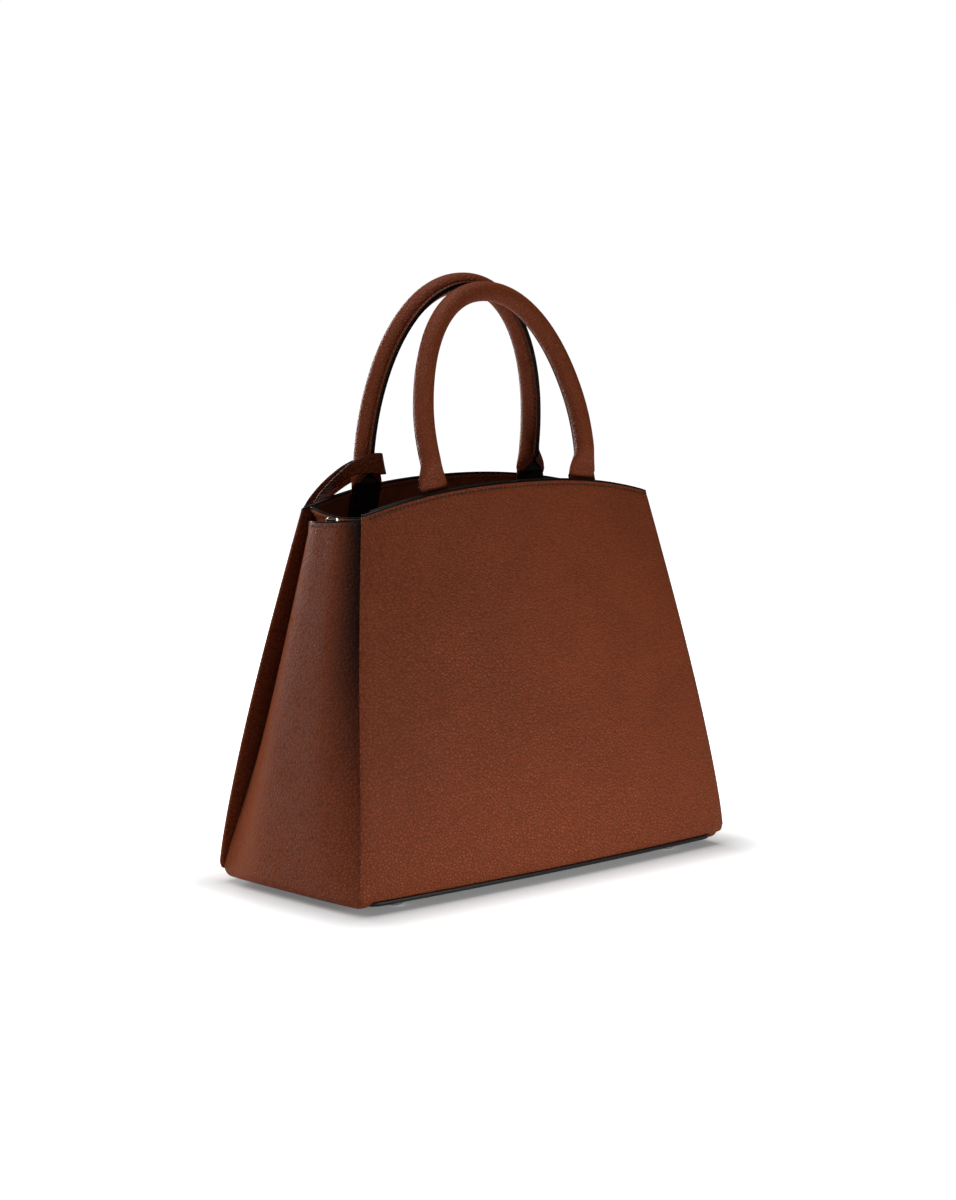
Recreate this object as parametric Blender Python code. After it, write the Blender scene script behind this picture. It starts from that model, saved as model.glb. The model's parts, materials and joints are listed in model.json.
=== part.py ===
"""A-line leather handbag with two rolled top handles, in metres, +Z up.

X runs along the bag's width, -Y is its front, and the origin lies on the floor under its middle.
"""

import math

import bmesh
import bpy
import numpy as np

mm = 0.001

# Body of the bag
base_width = 320 * mm
base_depth = 136 * mm
mouth_width = 247 * mm
mouth_depth = 60 * mm
corner_height = 237 * mm
rim_rise = 14 * mm
rim_power = 2.3
face_bulge = 4.5 * mm
face_bow = 5.5 * mm
side_bulge = 1.6 * mm
clearance = 0.3 * mm

# Leather, board and lining, from the outside in
panel_thickness = 3.0 * mm
stiffener_thickness = 1.0 * mm
pouch_thickness = 0.8 * mm
lining_thickness = 0.8 * mm
facing_thickness = 1.2 * mm
facing_height = 34 * mm
stiffener_margin = 14 * mm
gusset_thickness = 2.2 * mm

# Side gussets, tucked in beside each panel
gusset_bulge = 3.5 * mm
gusset_power = 4.0
tuck_bottom = 1.5 * mm
tuck_middle = 20 * mm
tuck_top = 10.5 * mm
tuck_rim = 3 * mm
gusset_drop = 4.5 * mm
gusset_dip = 1.5 * mm
band_thickness = 1.2 * mm
band_height = 30 * mm
band_dip = 3 * mm
ring_slot = 4.4 * mm

# Bottom, feet and board
foot_height = 5 * mm
foot_radius = 5.5 * mm
foot_face_radius = 2.2 * mm
foot_stem_radius = 1.5 * mm
foot_side_inset = 40 * mm
foot_front_inset = 14 * mm
washer_radius = 4.5 * mm
washer_thickness = 1.0 * mm
base_thickness = 3 * mm
base_corner_radius = 14 * mm
base_inset = 1 * mm
board_thickness = 2 * mm
board_margin = 1.5 * mm

# Handles
handle_half_span = 71 * mm
handle_rise = 122.5 * mm
handle_rise_power = 2.4
handle_span_power = 2.1
handle_tuck = 4.2 * mm
handle_tuck_share = 0.42
handle_radius = 6.2 * mm
handle_wall = 1.4 * mm
seam_height = 2.6 * mm
seam_slit = 0.3 * mm
seam_fade = 16 * mm
front_lean = 13.9
rear_lean = 6.8
handle_set_out = 3.8 * mm
tongue_length = 14 * mm
tongue_half_width = 12 * mm
tongue_half_thickness = 3 * mm
pivot_above_rim = 4 * mm
anchor_thickness = 2.4 * mm
anchor_drop = 24 * mm

# Strap rings at the top of the gussets
ring_wire = 1.1 * mm
ring_half_width = 6.4 * mm
ring_rise = 8.0 * mm
ring_corner = 2.4 * mm
ring_tab_thickness = 0.8 * mm
ring_tab_half_width = 3.8 * mm
ring_tab_drop = 12 * mm
ring_bar_drop = 6.5 * mm

# Hang tag on the rear handle
strap_width = 10 * mm
strap_thickness = 2.4 * mm
loop_thickness = 1.8 * mm
loop_slack = 1.6 * mm
loop_height = 9.5 * mm
tag_width = 28 * mm
tag_length = 50 * mm
tag_thickness = 2.6 * mm
tag_corner = 5 * mm
tag_gap = 0.8 * mm

# Magnetic snap
snap_radius = 7.5 * mm
snap_thickness = 2.4 * mm
stud_radius = 3.2 * mm
stud_height = 1.6 * mm
socket_depth = 1.9 * mm
snap_drop = 17 * mm

# Pocket with a zip on the rear lining, open pocket on the front lining
zip_half_length = 78 * mm
zip_height = 182 * mm
tape_half_height = 8 * mm
tape_thickness = 0.8 * mm
chain_half_height = 2.6 * mm
chain_thickness = 1.5 * mm
slider_half_length = 4.5 * mm
slider_half_height = 3.6 * mm
slider_thickness = 2.2 * mm
crown_radius = 1.6 * mm
crown_length = 1.8 * mm
puller_half_width = 2.6 * mm
puller_length = 20 * mm
puller_thickness = 1.4 * mm
pouch_half_width = 84 * mm
pouch_depth = 92 * mm
slip_half_width = 70 * mm
slip_bottom = 60 * mm
slip_height = 88 * mm
slip_thickness = 0.8 * mm

# Grid shares: rows from the bottom edge to the rim, columns across a panel and across a gusset
row_shares = np.array([0, 0.03, 0.08, 0.15, 0.25, 0.36, 0.48, 0.6, 0.72, 0.84, 0.92, 1.0])
column_shares = np.linspace(-1, 1, 11)
row_gap_share = 0.012
gusset_shares = np.array([-1, -0.93, -0.84, -0.72, -0.55, -0.3, 0, 0.3, 0.55, 0.72, 0.84, 0.93, 1])
tuck_middle_share = 0.55

# The tag strap's points between the loop and its end: way left of the loop's edge, way above the
# rim, both as shares of the strap's width
strap_left_shares = np.array([0.9, 1.5, 1.6, 1.6])
strap_up_shares = np.array([0.45, -0.5, -1.6, -3.2])
strap_start_share = 0.5

# Angles in degrees and facet counts
sharp_angle = 40
tongue_end_angle = 84
handle_ring_count = 27
cover_count = 11
core_count = 8
tongue_count = 16
loop_count = 24
round_count = 14
washer_count = 12
wire_count = 6

seat_height = foot_height + base_thickness
body_height = corner_height - seat_height - clearance
inner_depth = (panel_thickness + stiffener_thickness + pouch_thickness + lining_thickness
               + 3 * clearance)

leather = {"color": (0.24, 0.082, 0.036), "roughness": 0.45, "metallic": 0.0}
dark_leather = {"color": (0.012, 0.010, 0.010), "roughness": 0.5, "metallic": 0.0}
smooth_leather = {"color": (0.27, 0.11, 0.05), "roughness": 0.5, "metallic": 0.0}
fabric = {"color": (0.20, 0.15, 0.11), "roughness": 0.9, "metallic": 0.0}
board = {"color": (0.30, 0.27, 0.23), "roughness": 0.9, "metallic": 0.0}
metal = {"color": (0.75, 0.75, 0.76), "roughness": 0.2, "metallic": 1.0}
rope = {"color": (0.5, 0.48, 0.44), "roughness": 0.9, "metallic": 0.0}


def clear_scene():
    for obj in list(bpy.data.objects):
        bpy.data.objects.remove(obj)


def finish(name, bm, look, parent=None):
    """Weld, turn the faces outwards, and give the piece its own material."""
    bmesh.ops.remove_doubles(bm, verts=bm.verts, dist=clearance / 100)
    bmesh.ops.recalc_face_normals(bm, faces=bm.faces)
    mesh = bpy.data.meshes.new(name)
    bm.to_mesh(mesh)
    bm.free()
    mesh.shade_smooth()
    mesh.set_sharp_from_angle(angle=math.radians(sharp_angle))
    material = bpy.data.materials.new(name)
    material.use_nodes = True
    shader = material.node_tree.nodes["Principled BSDF"]
    shader.inputs["Base Color"].default_value = (*look["color"], 1)
    shader.inputs["Roughness"].default_value = look["roughness"]
    shader.inputs["Metallic"].default_value = look["metallic"]
    mesh.materials.append(material)
    obj = bpy.data.objects.new(name, mesh)
    bpy.context.scene.collection.objects.link(obj)
    if parent:
        obj.parent = parent
        mesh.transform(parent.matrix_world.inverted())
    return obj


def pivot(name, place, parent=None):
    """Empty on a joint's axis; what moves with the joint is its child."""
    empty = bpy.data.objects.new(name, None)
    bpy.context.scene.collection.objects.link(empty)
    empty.parent = parent
    origin = (0, 0, 0) if parent is None else parent.matrix_world.translation
    empty.location = np.array(place) - np.array(origin)
    bpy.context.view_layer.update()
    return empty


def grid_faces(bm, grid, wrap=False):
    rows, columns = len(grid), len(grid[0])
    for i in range(rows - 1):
        for j in range(columns if wrap else columns - 1):
            k = (j + 1) % columns
            bm.faces.new((grid[i][j], grid[i][k], grid[i + 1][k], grid[i + 1][j]))


def sheet(name, outer, inner, look, parent=None):
    """Closed solid between two point grids of one size, with a wall round their border."""
    bm = bmesh.new()
    front = [[bm.verts.new(p) for p in row] for row in outer]
    back = [[bm.verts.new(p) for p in row] for row in inner]
    grid_faces(bm, front)
    grid_faces(bm, [row[::-1] for row in back])
    grid_faces(bm, [front[0][::-1], back[0][::-1]])
    grid_faces(bm, [front[-1], back[-1]])
    grid_faces(bm, [[row[0] for row in front], [row[0] for row in back]])
    grid_faces(bm, [[row[-1] for row in front][::-1], [row[-1] for row in back][::-1]])
    return finish(name, bm, look, parent)


def loft(name, rings, look, parent=None, closed=False):
    """Solid through a row of closed rings; its ends are capped unless the row closes."""
    bm = bmesh.new()
    grid = [[bm.verts.new(p) for p in ring] for ring in rings]
    if closed:
        grid.append(grid[0])
    grid_faces(bm, grid, wrap=True)
    if not closed:
        bm.faces.new(grid[0])
        bm.faces.new(grid[-1][::-1])
    return finish(name, bm, look, parent)


def circle(radius, count):
    turns = np.arange(count) * math.tau / count
    return radius * np.stack([np.cos(turns), np.sin(turns)], axis=-1)


def rounded_rectangle(half_x, half_y, radius, steps):
    """Outline points, anticlockwise, with round corners of a few steps each."""
    turns = np.linspace(0, math.pi / 2, steps)
    points = []
    for quarter, (sx, sy) in enumerate(((1, 1), (-1, 1), (-1, -1), (1, -1))):
        centre = np.array([sx * (half_x - radius), sy * (half_y - radius)])
        angle = turns + quarter * math.pi / 2
        points.append(centre + radius * np.stack([np.cos(angle), np.sin(angle)], axis=-1))
    return np.concatenate(points)


def half_width(s):
    """Half the width of a panel at share s of its height; straight sides with a slight bulge."""
    level = np.clip(s, 0, 1)
    straight = base_width / 2 + (mouth_width - base_width) / 2 * s
    return straight + side_bulge * np.sin(math.pi * level)


def half_depth(s):
    """Half the depth at a panel's outer face; straight lean with a belly low down."""
    belly = face_bulge * np.sin(math.pi * np.sqrt(row_shares))
    straight = base_depth / 2 + (mouth_depth - base_depth) / 2 * s
    return straight + np.interp(s, row_shares, belly)


def surface(x, s, depth):
    """Point on a panel at share s of its height, a given depth behind its outer face.

    The face bows outwards as a parabola across the width, and the rim rises as a power curve.
    The sign of the result's Y is that of the rear panel.
    """
    share = np.clip(np.abs(x) / half_width(s), 0, 1)
    z = seat_height + clearance + s * (body_height + rim_rise * (1 - share ** rim_power))
    y = half_depth(s) + face_bow * (1 - share ** 2) - depth
    return np.stack([x, y, z], axis=-1)


def share_at(x, z):
    """Share of the height at which the panel surface passes height z."""
    s = (z - seat_height) / body_height
    for _ in range(8):
        level = surface(np.array(x), np.array(s), 0)[2]
        s = s + (z - level) / body_height
    return float(s)


def mirrored(points, side):
    return points * np.array([1, side, 1])


def rows_between(low, high):
    """Height shares of a sheet's rows: its two ends, and the panels' own rows between them."""
    inside = (row_shares > low + row_gap_share) & (row_shares < high - row_gap_share)
    return np.concatenate([[low], row_shares[inside], [high]])


def panel(name, side):
    """Outer leather slab whose upright edges are rounded over."""
    radius = panel_thickness / 2
    turns = np.linspace(0, math.pi / 2, 3)
    outer, inner = [], []
    for s in row_shares:
        flat = column_shares * (half_width(s) - radius)
        over = (half_width(s) - radius) + radius * np.sin(turns[1:])
        x = np.concatenate([-over[::-1], flat, over])
        half = np.concatenate([radius * np.cos(turns[1:])[::-1], np.full(len(flat), radius),
                               radius * np.cos(turns[1:])])
        level = np.full(len(x), s)
        outer.append(mirrored(surface(x, level, radius - half), side))
        inner.append(mirrored(surface(x, level, radius + half), side))
    return sheet(name, outer, inner, leather)


def layer(name, side, half, low, high, depth, thickness, look, centre=0, columns=9, level_top=None):
    """Sheet that follows a panel at a given depth; half, low and high bound it.

    half is the half width as a function of the height share; low and high are height shares.
    level_top is the height of a top edge that runs level instead of with the rim.
    """
    rows = rows_between(low, high)
    outer, inner = [], []
    for s in rows:
        x = centre + np.linspace(-1, 1, columns) * half(s)
        level = np.full(columns, s)
        if level_top and s == high:
            level = np.array([share_at(place, level_top) for place in x])
        outer.append(mirrored(surface(x, level, depth), side))
        inner.append(mirrored(surface(x, level, depth + thickness), side))
    return sheet(name, outer, inner, look)


def gusset_tuck(s):
    """How far the gusset's edges lie inside the panel's edge.

    It is a parabola through three sizes, from which the last row runs out to the rim's own size.
    """
    slope, curve = np.linalg.solve([[tuck_middle_share, tuck_middle_share ** 2], [1, 1]],
                                   [tuck_middle - tuck_bottom, tuck_top - tuck_bottom])
    last = row_shares[-2]
    release = (tuck_top - tuck_rim) * np.clip((s - last) / (1 - last), 0, 1)
    return tuck_bottom + slope * s + curve * s ** 2 - release


def gusset_point(side, v, s, depth, margin):
    """Point on a gusset: v runs from -1 at the front to 1 at the rear.

    The gusset swells outwards in the middle, more so towards the rim, and turns in beside each
    panel, as a power of v. depth is measured inwards from its outer face, margin from the panels'
    inner faces.
    """
    swell = gusset_bulge * s
    x = half_width(s) + swell - (gusset_tuck(s) + swell) * np.abs(v) ** gusset_power - depth
    y = v * (half_depth(s) - panel_thickness - margin)
    z = seat_height + clearance + s * body_height
    return np.stack([side * x, y, z], axis=-1)


def dipped(s, v, dip):
    """Height share s lowered in the middle, by a dip that grows from the band's lower edge up."""
    growth = np.clip(1 - (1 - s) * body_height / band_height, 0, 1)
    return s - dip / body_height * growth * (1 - v ** 2)


def gusset_sheet(name, side, low, high, depth, thickness, margin, look, dip=0.0, gap=0.0):
    """Sheet that follows a gusset, with its rows dipped, and a gap that closes at its ends."""
    rows = rows_between(low, high)
    apart = depth + gap * (1 - np.abs(gusset_shares) ** gusset_power)
    outer, inner = [], []
    for s in rows:
        level = dipped(s, gusset_shares, dip)
        outer.append(gusset_point(side, gusset_shares, level, apart, margin))
        inner.append(gusset_point(side, gusset_shares, level, apart + thickness, margin))
    return sheet(name, outer, inner, look)


def slab(name, outline, low, high, look):
    """Flat plate with an outline in X and Y."""
    rings = [np.column_stack([outline, np.full(len(outline), z)]) for z in (low, high)]
    return loft(name, rings, look)


def turned(name, profile, place, look, tilt=0.0, parent=None):
    """Round piece: profile of radius and height, turned about Z, then tilted about X."""
    turn = np.array([[1, 0, 0], [0, math.cos(tilt), -math.sin(tilt)],
                     [0, math.sin(tilt), math.cos(tilt)]])
    rings = []
    for radius, height in profile:
        flat = circle(radius, round_count)
        ring = np.column_stack([flat, np.full(round_count, height)])
        rings.append(ring @ turn.T + np.array(place))
    return loft(name, rings, look, parent)


def drill(obj, places, radius, low, high):
    """Cut round holes straight down through a plate and apply the cuts."""
    for x, y in places:
        cutter = turned("hole_cutter", [(radius, low - clearance), (radius, high + clearance)],
                        (x, y, 0), metal)
        cut = obj.modifiers.new("hole", 'BOOLEAN')
        cut.operation = 'DIFFERENCE'
        cut.object = cutter
        bpy.context.view_layer.objects.active = obj
        bpy.ops.object.modifier_apply(modifier=cut.name)
        bpy.data.objects.remove(cutter)


def foot_places():
    x = base_width / 2 - foot_side_inset
    y = base_depth / 2 - foot_front_inset
    return {"front_left": (-x, -y), "front_right": (x, -y), "rear_left": (-x, y),
            "rear_right": (x, y)}


def make_panels():
    edge = stiffener_margin / body_height
    facing_low = 1 - facing_height / body_height
    lining_low = share_at(0, lining_floor() + clearance)
    stiffener_depth = panel_thickness + clearance
    lining_depth = inner_depth - lining_thickness

    def inside_gusset(s):
        return (half_width(s) - gusset_tuck(s) - gusset_thickness - lining_thickness
                - 3 * clearance)

    def facing_half(s):
        return half_width(s) - gusset_tuck(s) - gusset_thickness - 2 * clearance

    for name, side in (("front", -1), ("rear", 1)):
        panel(f"{name}_panel", side)
        layer(f"{name}_stiffener", side, inside_gusset, share_at(0, board_top() + clearance),
              facing_low - edge, stiffener_depth, stiffener_thickness, board)
        layer(f"{name}_facing", side, facing_half, facing_low, 1, panel_thickness + clearance,
              facing_thickness, smooth_leather)
        layer(f"{name}_lining", side, inside_gusset, lining_low,
              facing_low - clearance / body_height, lining_depth, lining_thickness, fabric)


def board_top():
    return seat_height + clearance + board_thickness


def lining_floor():
    """Height of the lining's underside on the bottom, above the washers."""
    return board_top() + washer_thickness + 2 * clearance


def make_gussets():
    top = 1 - gusset_drop / body_height
    band_low = 1 - band_height / body_height
    band_depth = gusset_thickness + 2 * clearance
    lining_low = (lining_floor() + clearance - seat_height) / body_height
    side_margin = inner_depth - panel_thickness + clearance
    facing_margin = facing_thickness + 2 * clearance
    for name, side in (("left", -1), ("right", 1)):
        gusset_sheet(f"{name}_gusset", side, 0, top, 0, gusset_thickness, clearance, leather,
                     dip=gusset_dip)
        gusset_sheet(f"{name}_gusset_band", side, band_low, 1, band_depth, band_thickness,
                     facing_margin, smooth_leather, dip=band_dip, gap=ring_slot)
        gusset_sheet(f"{name}_lining", side, lining_low, band_low - clearance / body_height,
                     gusset_thickness + clearance, lining_thickness, side_margin, fabric)


def bowed_outline(half_x, half_y, radius, steps):
    """Rounded rectangle whose long sides bow outwards as the panels' bottom edges do."""
    corners = rounded_rectangle(half_x, half_y, radius, steps)
    x = np.linspace(1, -1, 9)[1:-1] * (half_x - radius)
    rear = np.column_stack([x, np.full(len(x), half_y)])
    outline = np.concatenate([corners[:steps], rear, corners[steps:3 * steps], -rear,
                              corners[3 * steps:]])
    bow = face_bow * (1 - (outline[:, 0] / (base_width / 2)) ** 2)
    outline[:, 1] += np.sign(outline[:, 1]) * bow
    return outline


def make_bottom():
    outline = bowed_outline(base_width / 2 - base_inset, base_depth / 2 - base_inset,
                            base_corner_radius, 5)
    base = slab("base_panel", outline, foot_height, seat_height, dark_leather)
    inside = bowed_outline(base_width / 2 - tuck_bottom - gusset_thickness - board_margin,
                           base_depth / 2 - panel_thickness - board_margin, board_margin, 3)
    plate = slab("base_board", inside, seat_height + clearance, board_top(), board)
    hole = foot_stem_radius + clearance
    drill(base, foot_places().values(), hole, foot_height, seat_height)
    drill(plate, foot_places().values(), hole, seat_height, board_top())
    floor_share = (lining_floor() + lining_thickness - seat_height) / body_height
    floor_outline = bowed_outline(half_width(floor_share) - gusset_tuck(floor_share)
                                  - gusset_thickness - lining_thickness - board_margin,
                                  base_depth / 2 - inner_depth - clearance, board_margin, 3)
    slab("floor_lining", floor_outline, lining_floor(), lining_floor() + lining_thickness, fabric)
    for name, (x, y) in foot_places().items():
        dome = np.linspace(0, math.pi / 2, 4)
        head = foot_height - clearance
        profile = [(foot_face_radius + (foot_radius - foot_face_radius) * math.sin(a),
                    head * (1 - math.cos(a))) for a in dome]
        profile += [(foot_stem_radius, head), (foot_stem_radius, board_top() + washer_thickness)]
        turned(f"{name}_foot", profile, (x, y, 0), metal)
        make_washer(f"{name}_washer", x, y)


def make_washer(name, x, y):
    """Ring clenched round the foot's stem, on top of the board."""
    low, high = board_top() + clearance, board_top() + washer_thickness
    hole = foot_stem_radius + clearance
    rings = [np.column_stack([circle(radius, washer_count) + (x, y), np.full(washer_count, z)])
             for radius, z in ((hole, low), (washer_radius, low), (washer_radius, high),
                               (hole, high))]
    loft(name, rings, metal, closed=True)


def handle_foot():
    """Where a handle's pivot lies: X of its centre line, and Y and Z of the hinge axis."""
    x = handle_half_span - handle_tuck
    depth = panel_thickness + facing_thickness + 2 * clearance + anchor_thickness / 2
    rim = surface(np.array(x), np.array(1.0), depth)
    return x, float(rim[1]), float(rim[2]) + pivot_above_rim


def handle_path(side, lean):
    """Centre line from the left foot to the right one, with its frame vectors.

    In the handle's own plane the curve is a superellipse whose feet are drawn in a little. The
    plane leans towards the bag's middle, a little outside the hinge axis, which the feet bend to.
    """
    turn = np.linspace(0, math.pi, 721)
    rise = handle_rise * np.abs(np.sin(turn)) ** (2 / handle_rise_power)
    reach = handle_half_span * np.abs(np.cos(turn)) ** (2 / handle_span_power)
    low = np.clip(1 - rise / (handle_tuck_share * handle_rise), 0, 1)
    across = -np.sign(np.cos(turn)) * (reach - handle_tuck * low ** 2)
    _, y, z = handle_foot()
    tilt = math.radians(lean)
    climb = np.clip(rise / tongue_length, 0, 1)
    out = handle_set_out * climb * climb * (3 - 2 * climb)
    points = np.stack([across, side * (y + out - rise * math.sin(tilt)),
                       z + rise * math.cos(tilt)], axis=-1)
    normal = np.array([0, -side * math.cos(tilt), -math.sin(tilt)])
    up = np.array([0, -side * math.sin(tilt), math.cos(tilt)])
    return points, normal, up


def along(points, places):
    """Points and unit tangents at given lengths along a dense line."""
    steps = np.linalg.norm(np.diff(points, axis=0), axis=1)
    length = np.concatenate([[0], np.cumsum(steps)])
    at = np.stack([np.interp(places, length, points[:, k]) for k in range(3)], axis=-1)
    step = length[-1] / 400
    near = np.clip(places, step, length[-1] - step)
    ahead = np.stack([np.interp(near + step, length, points[:, k]) for k in range(3)], axis=-1)
    behind = np.stack([np.interp(near - step, length, points[:, k]) for k in range(3)], axis=-1)
    tangent = ahead - behind
    return at, tangent / np.linalg.norm(tangent, axis=1)[:, None], length[-1]


def cover_section(height):
    """Leather wrapped round the core, with both plies standing up as a seam towards +n.

    Returns the outer and inner outline as rows of (s, n).
    """
    inner_radius = handle_radius - handle_wall
    ply_in, ply_out = seam_slit / 2, seam_slit / 2 + handle_wall
    outlines = []
    for radius, ply in ((handle_radius, ply_out), (inner_radius, ply_in)):
        start = math.asin(ply / radius)
        turn = np.linspace(start, math.tau - start, cover_count)
        ring = radius * np.stack([np.sin(turn), np.cos(turn)], axis=-1)
        tip = np.array([[ply, handle_radius + height]])
        outlines.append(np.concatenate([tip, ring, tip * (-1, 1)]))
    return outlines


def make_handle(name, side, lean):
    """Rolled handle: core, wrapped cover, and a flattened tongue at each foot."""
    x, y, z = handle_foot()
    hinge = pivot(f"{name}_handle_hinge", (0, side * y, z))
    points, normal, up = handle_path(side, lean)
    total = along(points, np.array([0.0]))[2]
    first = tongue_length + clearance
    places = np.linspace(first, total - first, handle_ring_count)
    centre, tangent, _ = along(points, places)
    across = np.cross(tangent, normal)
    outer, inner = [], []
    for k, place in enumerate(places):
        fade = min(1, (min(place, total - place) - first) / seam_fade)
        outlines = cover_section(seam_height * fade + clearance)
        for grid, outline in zip((outer, inner), outlines):
            grid.append(centre[k] + outline[:, :1] * across[k] + outline[:, 1:] * normal)
    sheet(f"{name}_handle_cover", outer, inner, leather, hinge)
    core = circle(handle_radius - handle_wall - clearance, core_count)
    rings = [centre[k] + core[:, :1] * across[k] + core[:, 1:] * normal
             for k in range(len(places))]
    loft(f"{name}_handle_core", rings, rope, hinge)
    for foot, line in (("left", points), ("right", points[::-1])):
        make_tongue(f"{name}_handle_{foot}_tongue", line, normal, up, hinge)
    return hinge


def tongue_size(share):
    """Half width and half thickness of a tongue at a share of its length above the hinge."""
    blend = share * share * (3 - 2 * share)
    return (tongue_half_width + (handle_radius - tongue_half_width) * blend,
            tongue_half_thickness + (handle_radius - tongue_half_thickness) * blend)


def make_tongue(name, line, normal, up, hinge):
    """Foot of a handle: round where it meets the cover, flat and half-round at the hinge."""
    turns = np.linspace(math.radians(tongue_end_angle), 0, 5)
    round_end = [(-tongue_half_thickness * math.sin(a), tongue_half_thickness * math.cos(a))
                 for a in turns]
    stations = [(low, tongue_half_width, half) for low, half in round_end]
    stations += [(share * tongue_length, *tongue_size(share)) for share in np.linspace(0, 1, 7)[1:]]
    level = np.array([-np.sign(normal[1]), 0, 0])
    rings = []
    ring = circle(1, tongue_count)
    for place, wide, thick in stations:
        at, tangent, _ = along(line, np.array([max(place, 0)]))
        share = max(place, 0) / tongue_length
        across = level * (1 - share) + np.cross(tangent[0], normal) * share
        across /= np.linalg.norm(across)
        rings.append(at[0] + up * min(place, 0) + wide * ring[:, :1] * across
                     + thick * ring[:, 1:] * normal)
    loft(name, rings, leather, hinge)


def make_anchors():
    """Flat tabs sewn inside the facing, which carry the handles' feet."""
    x, _, z = handle_foot()
    depth = panel_thickness + facing_thickness + 2 * clearance
    top = z - tongue_half_thickness - clearance
    high = share_at(x, top)
    low = share_at(x, z - pivot_above_rim - anchor_drop)
    for name, side in (("front", -1), ("rear", 1)):
        for foot, sign in (("left", -1), ("right", 1)):
            layer(f"{name}_{foot}_anchor", side, lambda s: tongue_half_width, low, high, depth,
                  anchor_thickness, dark_leather, centre=sign * x, columns=5, level_top=top)


def ring_place(side):
    """Centre of the strap ring's lower bar, in the slot between the gusset and its band.

    Also returns how far the slot leans inwards for each length upwards.
    """
    level = dipped(1 - gusset_drop / body_height, 0, gusset_dip) - ring_bar_drop / body_height
    bar, below = (gusset_point(side, 0, s, 0, 0)
                  for s in (level, level - ring_tab_drop / body_height))
    x = abs(bar[0]) - gusset_thickness - clearance - ring_slot / 2
    lean = (below[0] - bar[0]) / ring_tab_drop
    return np.array([side * x, 0, bar[2]]), lean


def make_rings():
    for name, side in (("left", -1), ("right", 1)):
        place, lean = ring_place(side)
        hinge = pivot(f"{name}_ring_hinge", place)
        outline = rounded_rectangle(ring_half_width - ring_wire, ring_rise / 2, ring_corner, 4)
        rise = outline[:, 1] + ring_rise / 2
        line = np.column_stack([-lean * rise, outline[:, 0], rise]) + place
        heading = np.roll(line, -1, axis=0) - np.roll(line, 1, axis=0)
        heading /= np.linalg.norm(heading, axis=1)[:, None]
        out = np.cross(heading, (1, 0, 0))
        wire = circle(ring_wire, wire_count)
        rings = [line[k] + wire[:, :1] * np.array([1, 0, 0]) + wire[:, 1:] * out[k]
                 for k in range(len(line))]
        loft(f"{name}_ring", rings, metal, hinge, closed=True)
        make_ring_tab(f"{name}_ring_tab", place, lean)


def make_ring_tab(name, place, lean):
    """Strip of leather looped over the ring's lower bar, with both ends down in the slot."""
    bend = ring_wire + clearance
    turns = np.linspace(0, math.pi, 7)
    down = np.array([-ring_tab_drop, -ring_tab_drop / 2])

    def strip(radius):
        arc = np.stack([radius * np.cos(turns), radius * np.sin(turns)], axis=-1)
        first = np.stack([np.full(2, radius), down], axis=-1)
        last = np.stack([np.full(2, -radius), down[::-1]], axis=-1)
        return np.concatenate([first, arc, last])

    grids = []
    for radius in (bend + ring_tab_thickness, bend):
        path = strip(radius)
        grids.append([[place + np.array([u - lean * min(w, 0), v, w])
                       for v in (-ring_tab_half_width, ring_tab_half_width)] for u, w in path])
    sheet(name, grids[0], grids[1], leather)


def tag_hinge_place():
    """Middle of the strap's loop round the rear handle's left foot."""
    points, _, _ = handle_path(1, rear_lean)
    at, tangent, _ = along(points, np.array([tongue_length - loop_height / 2]))
    return at[0], tangent[0]


def make_tag(hinge):
    """Hang tag: a loop round the handle's foot, a strap over the rim, and the tag behind."""
    centre, up = tag_hinge_place()
    _, normal, _ = handle_path(1, rear_lean)
    across = np.cross(up, normal)
    radius = handle_radius + loop_slack
    wide = tongue_size(1 - loop_height / tongue_length)[0] + loop_slack
    ring = circle(1, loop_count)
    rings = []
    for grow, level in ((0, -1), (loop_thickness, -1), (loop_thickness, 1), (0, 1)):
        rings.append(centre + (wide + grow) * ring[:, :1] * across
                     + (radius + grow) * ring[:, 1:] * normal + up * level * loop_height / 2)
    loft("tag_loop", rings, leather, hinge, closed=True)

    strap_hinge = pivot("tag_strap_hinge", centre, hinge)
    path, wide_way = strap_route(centre, across, up, wide + loop_thickness + 3 * clearance)
    heading = np.gradient(path, axis=0)
    thick_way = np.cross(heading, wide_way)
    thick_way /= np.linalg.norm(thick_way, axis=1)[:, None]
    columns = np.linspace(-1, 1, 3)[:, None] * strap_width / 2
    grids = []
    for half in (strap_thickness / 2, -strap_thickness / 2):
        grids.append([path[k] + columns * wide_way[k] + half * thick_way[k]
                      for k in range(len(path))])
    sheet("tag_strap", grids[0], grids[1], leather, strap_hinge)

    end = path[-1]
    tag_pivot = pivot("tag_hinge", end, strap_hinge)
    outline = rounded_rectangle(tag_width / 2, tag_length / 2, tag_corner, 4)
    middle = end - (0, 0, tag_length / 2 + tag_gap)
    rings = [np.column_stack([outline[:, 0] + middle[0], np.full(len(outline), middle[1] + y),
                              outline[:, 1] + middle[2]])
             for y in (-tag_thickness / 2, tag_thickness / 2)]
    loft("hang_tag", rings, leather, tag_pivot)


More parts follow.
